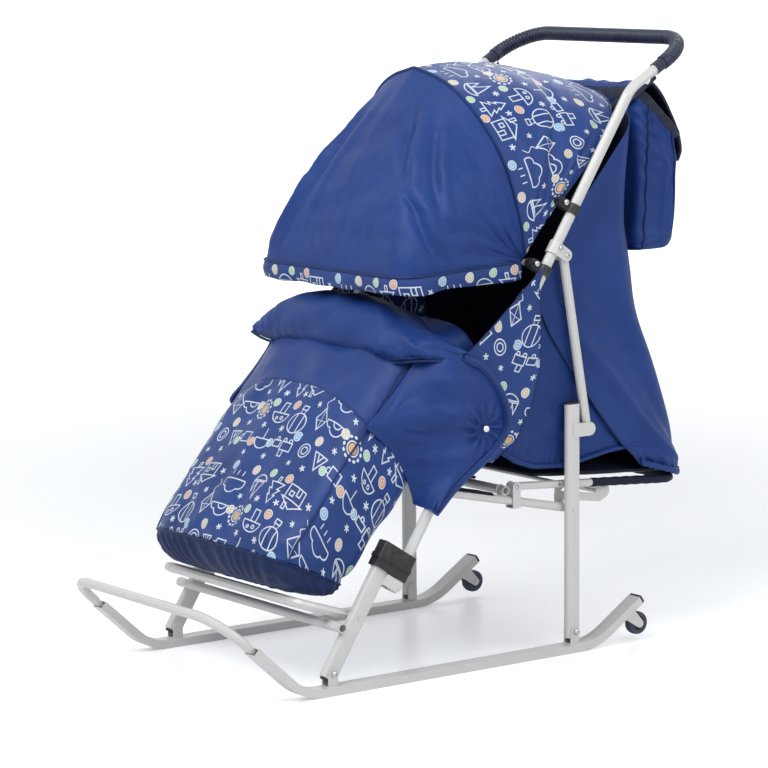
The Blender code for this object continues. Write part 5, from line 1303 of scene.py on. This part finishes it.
# Rear curtain: one sheet round the back of the sled, hung from the handle tubes. Its front edges run down
# and back in a slanting line, and elastic gathers its lower corners.
curtain_rows = (
    ((0.012, 0.772), (0.172, 0.955), 0.0), ((-0.034, 0.700), (0.166, 0.800), 0.0),
    ((-0.062, 0.640), (0.174, 0.700), 0.0),
    ((-0.0435, 0.581), (0.192, 0.610), 0.002), ((0.010, 0.503), (0.222, 0.500), 0.004),
    ((0.058, 0.438), (0.262, 0.392), 0.007), ((0.118, 0.366), (0.288, 0.330), 0.009),
    ((0.148, 0.338), (0.292, 0.306), 0.0095), ((0.168, 0.318), (0.288, 0.284), 0.008),
)


def curtain_ring(start, end, spread, corner=0.060):
    half = 0.2234 + spread
    depth = sqrt((end[0] - start[0]) ** 2 + (end[1] - start[1]) ** 2)
    slope = atan2(end[1] - start[1], end[0] - start[0])
    return bow_outline(start, slope, depth, half, min(corner, depth * 0.6), 0.0)


curtain_surface = sewn_surface([curtain_ring(*row) for row in curtain_rows], 73)
curtain_ridges = (
    ((0.02, 0.20), (0.20, 0.95), 0.0090, 0.022), ((0.10, 0.12), (0.28, 0.98), -0.0080, 0.026),
    ((0.19, 0.25), (0.34, 0.99), 0.0100, 0.030), ((0.33, 0.30), (0.42, 0.98), -0.0080, 0.030),
    ((0.41, 0.20), (0.50, 0.99), 0.0090, 0.034), ((0.03, 0.34), (0.11, 0.60), 0.0050, 0.015),
    ((0.00, 0.28), (0.10, 0.36), 0.0040, 0.012), ((0.02, 0.55), (0.12, 0.88), 0.0045, 0.016),
)


def curtain_folds(u, v):
    near = min(u, 1 - u)
    sides = ridges(near, v, *curtain_ridges)
    gathers = 0.0026 * sin(near * 190.0 + 2.0 * sin(near * 37.0)) * max(0.0, v * 5.0 - 4.0)
    hung = (sides * 0.8 + rumple(u * 2, v * 1.3, 5.0, 0.0060, 31.0)) * min(v * 6, 1.0) * min(near * 14, 1.0)
    return hung + gathers * max(0.0, 1.0 - near * 2.2) - 0.004 * v


shape = cloth_piece(curtain_surface, 170, 96, spot(0.0, 0.05, 0.55), curtain_folds)
curtain_area = area_of(shape)
curtain = lined(
    finished("rear_curtain_cloth", shape, blue_nylon, "handle_frame", None), 0.0012, lining
)
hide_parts("rear_curtain")
hem = [curtain_surface(i / 160, 1.0) for i in range(161)]
hem = [p + Vector((0.0, 0.0, 0.004 + 0.0016 * sin(i * 1.9))) for i, p in enumerate(hem)]
cord_along("curtain_hem", hem, 0.0052, blue_nylon, "handle_frame", segments=10)
for side_name, share in (("left", 0.0), ("right", 1.0)):
    edge_line = [curtain_surface(share, 0.10 + 0.88 * i / 80) for i in range(81)]
    seam_cord(f"curtain_edge_{side_name}", edge_line, 0.0014)

# Side skirts: a plain panel on each side under the curtain's slanting edge, gathered on elastic at its hem.
skirt_top = [(-0.082, 0.640), (-0.040, 0.600), (0.010, 0.528), (0.060, 0.462), (0.130, 0.378), (0.172, 0.352)]
skirt_hem = [
    (-0.145, 0.366), (-0.115, 0.348), (-0.076, 0.3345), (-0.002, 0.3290), (0.040, 0.336), (0.100, 0.346),
    (0.168, 0.350),
]


def skirt_surface_of(side):
    top = even(profile(side * 0.2212, skirt_top), 50)
    hem = even(profile(side * 0.2234, skirt_hem), 50)
    front = even(
        profile(side * 0.2224, ((-0.082, 0.640), (-0.086, 0.52), (-0.110, 0.44), (-0.145, 0.366))), 30
    )

    def surface(u, v):
        point = smooth_path(top, u).lerp(smooth_path(hem, u), v)
        lead = smooth_path(front, v)
        fade = max(0.0, 1.0 - u * 3.0)
        straight = top[0].lerp(hem[0], v)
        return point + (lead - straight) * fade

    return surface


skirt_ridges = (
    ((0.02, 0.90), (0.60, 0.30), 0.0040, 0.05), ((0.10, 0.95), (0.75, 0.45), -0.0035, 0.05),
    ((0.05, 0.30), (0.40, 0.75), 0.0030, 0.06),
)


def skirt_folds(u, v):
    gathers = 0.0016 * sin(u * 150.0 + 2.0 * sin(u * 21.0)) * max(0.0, v * 4.0 - 3.0)
    folds = ridges(u, v, *skirt_ridges) + rumple(u, v, 6.0, 0.0030, 41.0)
    return folds * min(v * 5, (1 - v) * 5 + 0.2, 1.0) * 0.8 + gathers


for side_name, side in both_sides:
    skirt_surface = skirt_surface_of(side)
    shape = cloth_piece(skirt_surface, 80, 54, spot(0.0, 0.0, 0.45), skirt_folds)
    skirt_area = area_of(shape)
    skirt = finished(f"side_skirt_{side_name}", shape, blue_nylon, "handle_frame", None)
    lined(skirt, 0.0012, lining)
    line = [skirt_surface(i / 120, 1.0) + Vector((side * 0.0014, 0.0, 0.0055)) for i in range(121)]
    cord_along(
        f"skirt_hem_{side_name}", line, lambda i: 0.0066 + 0.0009 * sin(i * 2.1) + 0.0004 * sin(i * 5.3),
        blue_nylon, "handle_frame", flat=0.62, segments=12,
    )

# Handle bag: a sewn box bag of the blue cloth that hangs between the handle tubes. It has a gathered
# gusset, corded seams and a dark band round its mouth, and it sags between its straps.
bag_levels = (
    (0.6985, 0.206, 0.262, 0.86, 0.0), (0.702, 0.202, 0.272, 0.97, 0.0), (0.716, 0.200, 0.279, 0.995, 0.0),
    (0.760, 0.1985, 0.285, 1.0, 0.004), (0.830, 0.198, 0.291, 1.0, 0.014), (0.880, 0.198, 0.2925, 1.0, 0.028),
    (0.918, 0.198, 0.2910, 1.0, 0.038), (0.948, 0.198, 0.2885, 1.0, 0.044),
)


def bag_ring(height, front, rear, share, lean, sag=0.0):
    half, corner = 0.185 * share, 0.014
    outline = [(0.0, front)]
    for cx, cy, first in ((half - corner, front + corner, -90), (half - corner, rear - corner, 0)):
        for step in range(7):
            turn = radians(first + 90 * step / 6)
            outline.append((cx + corner * cos(turn), cy + corner * sin(turn)))
    outline.append((0.0, rear))
    outline += [(-x, y) for x, y in reversed(outline[1:-1])] + [(0.0, front)]
    return [spot(x, y, height - sag * (1 - (x / half) ** 2) + lean * (0.246 - y) / 0.046) for x, y in outline]


bag_rows = [bag_ring(*level, sag=0.010 * (i / 7) ** 2) for i, level in enumerate(bag_levels)]
bag_surface = sewn_surface(bag_rows, 145)
bag_length = 2 * (0.37 + 0.09)
bag_ridges = (
    ((0.62, 0.75), (0.80, 0.60), 0.0045, 0.03), ((0.60, 0.35), (0.84, 0.28), 0.0045, 0.03),
    ((0.90, 0.20), (1.20, 0.75), 0.0040, 0.06),
)


def bag_folds(u, v):
    near = min(u, 1 - u) * bag_length
    on_gusset = max(0.0, 1.0 - abs(near - 0.205) / 0.055)
    ruche = 0.0026 * sin(v * 70.0 + 3.0 * sin(v * 9.0) + near * 20) * on_gusset
    sag = 0.0050 * sin(pi * v) * (1.0 if 0.24 < near else 0.3)
    folds = ruche + sag + ridges(near * 3, v, *bag_ridges) + rumple(u * 4, v, 6.0, 0.0050, 51.0)
    puckers = 0.0016 * sin(near * 260.0) * max(0.0, v * 6.0 - 5.0)
    return folds * min(v * 8, (1 - v) * 8 + 0.15, 1.0) + puckers


shape = cloth_piece(bag_surface, 200, 64, spot(0.0, 0.246, 0.84), bag_folds)
bmesh.ops.remove_doubles(shape, verts=shape.verts, dist=1e-5)
floor_edges = [edge for edge in shape.edges if edge.is_boundary and edge.verts[0].co.z < 0.72]
bmesh.ops.holes_fill(shape, edges=floor_edges, sides=0)
bag = lined(
    finished("handle_bag_cloth", shape, blue_nylon, "handle_frame", 35.0), 0.0016, lining
)
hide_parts("handle_bag")
for seam_name, u in (
    ("front_left", 0.2185), ("rear_left", 0.2940), ("front_right", 0.7815), ("rear_right", 0.7060)
):
    line = [bag_surface(u, i / 60) for i in range(61)]
    line = [
        p + (p - spot(0.0, 0.246, p.z)).normalized() * (0.0026 + bag_folds(u, i / 60) * 0.6)
        for i, p in enumerate(line)
    ]
    seam_cord(f"bag_seam_{seam_name}", line, 0.0017)
line = [bag_surface(i / 200, 0.025) for i in range(200)]
line = [p + (p - spot(p.x * 0.8, 0.246, p.z + 0.02)).normalized() * 0.0012 for p in line]
seam_cord("bag_floor_seam", line, 0.0018, closed=True)


def webbing(name, colour):
    """Woven polyester strap: ribs along it and a coarse weave."""
    finish = Finish(name, colour, 0.72, Sheen_Weight=0.3, Sheen_Roughness=0.5)
    across, along, _ = finish.parts(finish.node("ShaderNodeUVMap"))
    weave = abs((along * 1700.0).sine()) * 0.6 + abs((across * 1400.0).sine()) * 0.4
    # Painted shade: the colour is darker where the weave's bump is low, between the threads.
    finish.set(Base_Color=finish.tint(colour, (0.006, 0.009, 0.022), weave.below(0.35, 0.3) * 0.6))
    finish.set(Normal=finish.bump(weave, 0.0004, 0.6), Roughness=0.66 + finish.grain(120.0) * 0.14)
    return finish


strap_web = webbing("navy_webbing", (0.011, 0.017, 0.045))
mouth = [bag_surface(i / 240, 0.955) for i in range(240)]
mouth = [
    p + (p - spot(0.0, 0.246, p.z)).normalized() * (0.0024 + 0.0010 * sin(i * 0.9))
    for i, p in enumerate(mouth)
]
cord_along(
    "bag_mouth_band", mouth, 0.0016, strap_web, "handle_frame", flat=7.2, closed=True,
    segments=14,
)

# Bag lid: a turned flap of the same cloth, sewn along the front of the bag's mouth. It hangs over the rear.
lid_path = [
    (0.1985, 0.9930), (0.2100, 1.0010), (0.2302, 0.9990), (0.2540, 0.9770), (0.2760, 0.9420),
    (0.2935, 0.9080), (0.3005, 0.8800), (0.2995, 0.8570),
]


def lid_surface(u, v):
    point = smooth_path(profile(0.0, lid_path), v)
    side = 2 * u - 1
    dip = 0.0050 * (1 - side * side) * max(0.0, 1 - v * 1.8)
    return Vector((0.1845 * side * (1 - 0.03 * max(0.0, v - 0.9) * 10), point.y, point.z - dip))


def lid_folds(u, v):
    side = abs(2 * u - 1)
    folds = 0.0022 * sin(u * 21.0 + 2.0 * sin(v * 7.0)) * sin(pi * v)
    folds += ridge(u, v, (0.15, 0.1), (0.32, 0.7), 0.0030, 0.05) + rumple(u * 3, v, 6.0, 0.0034, 61.0)
    return folds * min(v * 6, 1.0) * (1 - side**6)


shape = cloth_piece(lid_surface, 84, 44, spot(0.0, 0.246, 0.90), lid_folds)
lid_area = area_of(shape)
lid = lined(finished("bag_lid_cloth", shape, blue_nylon, "bag_lid", None), 0.0022, lining)
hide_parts("bag_flap")
around = [lid_surface(0.0, i / 50) for i in range(51)] + [lid_surface(i / 70, 1.0) for i in range(1, 71)]
around += [lid_surface(1.0, 1 - i / 50) for i in range(1, 51)]
cord_along("bag_lid_binding", around, 0.0026, strap_web, "bag_lid", segments=8)

# Bag straps: webbing from the bag's front corners to a sleeve round each handle tube, with a brass grommet.
for side_name, side in both_sides:
    low = spot(side * 0.060, 0.1925, 0.918)
    high = on_tube(side, bend_point, top_way, 0.080) + Vector((side * -0.0135, -0.002, -0.016))
    line = []
    for step in range(25):
        sag = sin(pi * step / 24)
        line.append(low.lerp(high, step / 24) + Vector((0.0, -0.004 * sag, -0.006 * sag)))
    cord_along(
        f"bag_strap_{side_name}", line, 0.0011, strap_web, "handle_frame", flat=10.5,
        segments=14,
    )
    sleeve = [on_tube(side, bend_point, top_way, 0.080 + k) for k in (-0.016, -0.008, 0.0, 0.008, 0.014)]
    cord_along(
        f"strap_sleeve_{side_name}", sleeve, 0.0112, strap_web, "handle_frame", segments=28
    )
    eye = low.lerp(high, 0.90) + Vector((0.0, -0.0035, -0.0020))
    facing = (side * 0.35, -0.90, 0.15)
    ring = [(0.0042, 0.0020), (0.0072, 0.0026), (0.0086, 0.0012)]
    ring += [(radius, -height) for radius, height in reversed(ring)] + ring[:1]
    turned(f"strap_grommet_{side_name}", ring, eye, facing, chrome, "handle_frame")

# Seat sling: doubled navy cloth, sewn round both seat tubes and pulled tight between them.
seat_along, seat_up = (0.97845, -0.20652), (0.20652, 0.97845)


def sling_row(run):
    y, z = -0.29758 + run * seat_along[0], 0.32034 + run * seat_along[1]
    half = []
    for step in range(9):
        turn = radians(35 + 55 * step / 8)
        half.append((0.2216 + 0.0092 * cos(turn), 0.0092 * sin(turn)))
    half += [(0.180, 0.0078), (0.110, 0.0052), (0.0, 0.0040)]
    ring = half + [(-x, rise) for x, rise in reversed(half[:-1])]
    return [spot(x, y + rise * seat_up[0], z + rise * seat_up[1]) for x, rise in ring]


sling_surface = sewn_surface([sling_row(0.032 + 0.100 * step / 6) for step in range(7)], 121)


def sling_folds(u, v):
    slack = 0.0012 * sin(v * 40.0 + u * 9.0) * max(0.0, 1.0 - abs(u - 0.5) * 3.0)
    return slack + rumple(u * 3, v, 5.0, 0.0010, 81.0)


shape = cloth_piece(sling_surface, 130, 30, spot(0.0, -0.22, 0.24), sling_folds)
sling_area = area_of(shape)
sling = finished("seat_sling_cloth", shape, lining, "seat_frame", None)
wall = sling.modifiers.new("layers", "SOLIDIFY")
wall.thickness = 0.0014
wall.offset = 0.0
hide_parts("seat_sling")


# Cushions: a padded seat cushion on the sling, and a padded back that turns with its frame.
def pad_shell(x_half, outline_bottom, outline_top, rise, thick, seed):
    """A closed cushion between a front and a rear edge: crowned top and bottom, all in one closed shell."""
    shape = bmesh.new()
    bmesh.ops.create_cube(shape, size=1.0)
    bmesh.ops.subdivide_edges(shape, edges=shape.edges, cuts=21, use_grid_fill=True)
    along = Vector((0.0, outline_top[0] - outline_bottom[0], outline_top[1] - outline_bottom[1]))
    up = Vector((0.0, -along.z, along.y)).normalized()
    centre = spot(0.0, (outline_bottom[0] + outline_top[0]) / 2, (outline_bottom[1] + outline_top[1]) / 2)
    for vertex in shape.verts:
        a, b, c = vertex.co.x * 2, vertex.co.y * 2, vertex.co.z * 2
        plump = (1 - abs(a) ** 5) * (1 - abs(b) ** 5)
        seam = 1.0 - 0.34 * sum(bell((b - k) / 0.050) for k in (-0.34, 0.34))
        height = c * (0.16 + 0.84 * plump * seam) * thick / 2
        height += rise * plump * (0.5 + 0.5 * c) + (
            noise.noise(Vector((a * 3, b * 3, seed))) * 0.0022
        ) * plump
        vertex.co = centre + Vector((a * x_half, 0.0, 0.0)) + along * (b / 2) + up * height
    uv = shape.loops.layers.uv.new("metres")
    for face in shape.faces:
        for loop in face.loops:
            loop[uv].uv = (loop.vert.co.x, (loop.vert.co - centre).dot(along.normalized()))
    bmesh.ops.recalc_face_normals(shape, faces=shape.faces)
    return shape


slope = (cos(radians(-3.9)), sin(radians(-3.9)))
back_low = (-0.118 + 0.052 * slope[0], 0.30842 + 0.0165 + 0.052 * slope[1])
back_high = (-0.118 + 0.400 * slope[0], 0.30842 + 0.0165 + 0.400 * slope[1])
shape = pad_shell(0.2140, back_low, back_high, 0.0, 0.030, 3.0)
back_pad = smoothed(finished("back_pad_cushion", shape, lining, "backrest", None))
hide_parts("back_pad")
shape = pad_shell(0.149, (-0.262, 0.3560), (-0.142, 0.3160), 0.0, 0.030, 5.0)
seat_cushion = smoothed(finished("seat_cushion", shape, lining, "seat_frame", None))
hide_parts("seat_pad")

# Grip: a ribbed hose of soft dark vinyl pushed over the top of the handle, wet-look and slightly worn.
vinyl = Finish("dark_blue_vinyl", (0.016, 0.022, 0.050), 0.34, Specular_IOR_Level=0.5)
worn = vinyl.grain(60.0, 4.0)
vinyl.set(
    Base_Color=vinyl.tint((0.014, 0.022, 0.062), (0.008, 0.012, 0.036), worn.below(0.5, 0.12)),
    Roughness=0.30 + worn * 0.16,
    Normal=vinyl.bump(vinyl.grain(420.0, 2.0), 0.00015, 0.5),
)


def grip_point(x, reach):
    """A point of the sloping top of the handle: across, and up its slope from the bend."""
    return spot(x, bend_point[0] + reach * top_way[0], bend_point[1] + reach * top_way[1])


grip_path = [grip_point(handle_half_width, 0.0950)]
for step in range(1, 13):
    turn = pi / 2 * step / 12
    grip_path.append(grip_point(0.1645 + 0.075 * cos(turn), 0.0947 + 0.075 * sin(turn)))
grip_path += [Vector((-point.x, point.y, point.z)) for point in reversed(grip_path)]
rib = 0.00645
ribs = int(sum((b - a).length for a, b in zip(grip_path, grip_path[1:])) / rib)
grip_line = even(grip_path, ribs * 6 + 1)
grip = cord_along(
    "ribbed_grip", grip_line, lambda i: 0.01215 + 0.00125 * sin(pi * (i % 6) / 6) ** 0.7, vinyl,
    "handle_frame",
    segments=26,
)
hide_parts("handle_grip")
for side_name, side in both_sides:
    collar = [on_tube(side, bend_point, top_way, reach) for reach in (0.086, 0.090, 0.0945, 0.098)]
    cord_along(
        f"grip_collar_{side_name}", collar, 0.0131, vinyl, "handle_frame", segments=26
    )

# Transport wheels: a moulded hub with five ribs and a solid rubber tyre, on a shouldered bolt.
rubber = Finish("blue_grey_rubber", (0.050, 0.060, 0.105), 0.62)
scrubbed = rubber.grain(90.0, 4.0)
rubber.set(
    Base_Color=rubber.tint((0.044, 0.053, 0.094), (0.105, 0.110, 0.130), scrubbed.below(0.34, 0.10) * 0.5),
    Roughness=0.54 + scrubbed * 0.24, Normal=rubber.bump(scrubbed, 0.0003, 0.5),
)
zinc = Finish("zinc_plated_steel", (0.60, 0.61, 0.63), 0.28, Metallic=1.0)
spangle = zinc.grain(210.0, 3.0)
zinc.set(
    Base_Color=zinc.tint((0.62, 0.63, 0.65), (0.42, 0.43, 0.46), spangle.below(0.48, 0.10) * 0.5),
    Roughness=0.20 + spangle * 0.20, Normal=zinc.bump(spangle, 0.00005, 0.4),
)
for side_name, side in both_sides:
    axle = spot(side * handle_half_width, 0.151, 0.032)
    body = f"wheel_{side_name}"
    tread = [(0.0128, -0.0080), (0.0175, -0.0086), (0.0196, -0.0076), (0.0206, -0.0050), (0.0209, -0.0020)]
    tread += [(radius, -height) for radius, height in reversed(tread)] + tread[:1]
    tyre = turned(f"tyre_{side_name}", tread, axle, (side, 0, 0), rubber, body, 48)
    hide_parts(f"wheel_{side_name}")
    hub = [(0.0, 0.0045), (0.0042, 0.0045), (0.0046, 0.0080), (0.0062, 0.0080), (0.0064, 0.0030)]
    hub += [(0.0104, 0.0030), (0.0108, 0.0074), (0.0129, 0.0074), (0.0129, -0.0074), (0.0108, -0.0074)]
    hub.append((0.0, -0.0074))
    turned(f"wheel_hub_{side_name}", hub, axle, (side, 0, 0), moulding, body, 40)
    for spoke in range(5):
        shape = bmesh.new()
        bmesh.ops.create_cube(shape, size=1.0)
        bmesh.ops.scale(shape, vec=(0.0090, 0.0018, 0.0050), verts=shape.verts)
        bmesh.ops.translate(shape, vec=(side * 0.0010, 0.0, 0.0085), verts=shape.verts)
        turn = Matrix.Rotation(2 * pi * spoke / 5, 4, "X")
        bmesh.ops.transform(shape, matrix=Matrix.Translation(axle) @ turn, verts=shape.verts)
        finished(f"wheel_spoke_{side_name}_{spoke}", shape, moulding, body, 30.0)


# Fasteners: zinc plated domed bolts with a hexagon socket at each joint, and button rivets.
def socket_bolt(name, place, side, radius, body):
    """A domed head with a flat washer face and a hexagon socket, facing away from the sled."""
    dome = [(radius, 0.0), (radius * 0.98, 0.0008), (radius * 0.80, 0.0022), (radius * 0.52, 0.0030)]
    head = dome + [(radius * 0.50, 0.0030), (radius * 0.46, 0.0010), (0.0, 0.0010)]
    turned(name, head, place, (side, 0.0, 0.0), zinc, body, 30)


bolt_places = (
    ("clamp_bolt_upper", 0.2522, (-0.0350, 0.7235), 0.0044, "handle_frame"),
    ("clamp_bolt_lower", 0.2520, (-0.0208, 0.7095), 0.0044, "handle_frame"),
    ("hood_stud_lower", 0.2522, (-0.0888, 0.6996), 0.0052, "handle_frame"),
    ("hood_stud_upper", 0.2522, (-0.0231, 0.8024), 0.0052, "handle_frame"),
    ("brace_foot_bolt", 0.2480, (0.0340, 0.3985), 0.0046, "rear_posts"),
    ("post_foot_bolt", 0.2545, (0.0, 0.0380), 0.0052, "sled_base"),
    ("leg_foot_bolt", 0.2545, (-0.5280, 0.0380), 0.0052, "sled_base"),
    ("recline_bolt", 0.2316, (-0.1180, 0.3084), 0.0042, "seat_frame"),
    ("seat_front_bolt", 0.2522, (-0.2976, 0.3203), 0.0046, "handle_frame"),
    ("comb_rivet_front", 0.2186, (-0.0085, 0.2930), 0.0034, "seat_frame"),
    ("comb_rivet_rear", 0.2186, (0.0880, 0.2860), 0.0034, "seat_frame"),
)
for bolt_name, x, (y, z), radius, body in bolt_places:
    for side_name, side in both_sides:
        socket_bolt(f"{bolt_name}_{side_name}", spot(side * x, y, z), side, radius, body)

# Weld beads: a low, rippled fillet where two tubes meet, under the same enamel.
for side_name, side in both_sides:
    centre = spot(side * 0.2125, -0.14069, 0.3040)
    bead = []
    for step in range(64):
        turn = 2 * pi * step / 64 + pi / 4
        bead.append(centre + 0.0084 * Vector((0.0, cos(turn), sin(turn))))
    cord_along(
        f"cross_tube_weld_{side_name}", bead, lambda i: 0.00135 + 0.00028 * sin(i * 1.7), enamel,
        "seat_frame",
        closed=True,
    )

# The rear of the back frame runs in a sleeve of the navy lining, sewn to the back pad.
sleeve_run = [(0.2217, 0.058), (0.2217, 0.130), (0.2217, 0.215)]
for step in range(7):
    turn = radians(90 * step / 6)
    sleeve_run.append((0.1717 + 0.050 * cos(turn), 0.2211 + 0.050 * sin(turn)))
sleeve_path = [spot(x, y, 0.30842 - (y + 0.118) * tan(radians(3.9))) for x, y in sleeve_run]
sleeve_path += [Vector((-p.x, p.y, p.z)) for p in reversed(sleeve_path)]
cord_along(
    "back_frame_sleeve", even(sleeve_path, 160), lambda i: 0.0079 + 0.0004 * sin(i * 1.3), lining, "backrest",
    segments=16,
)
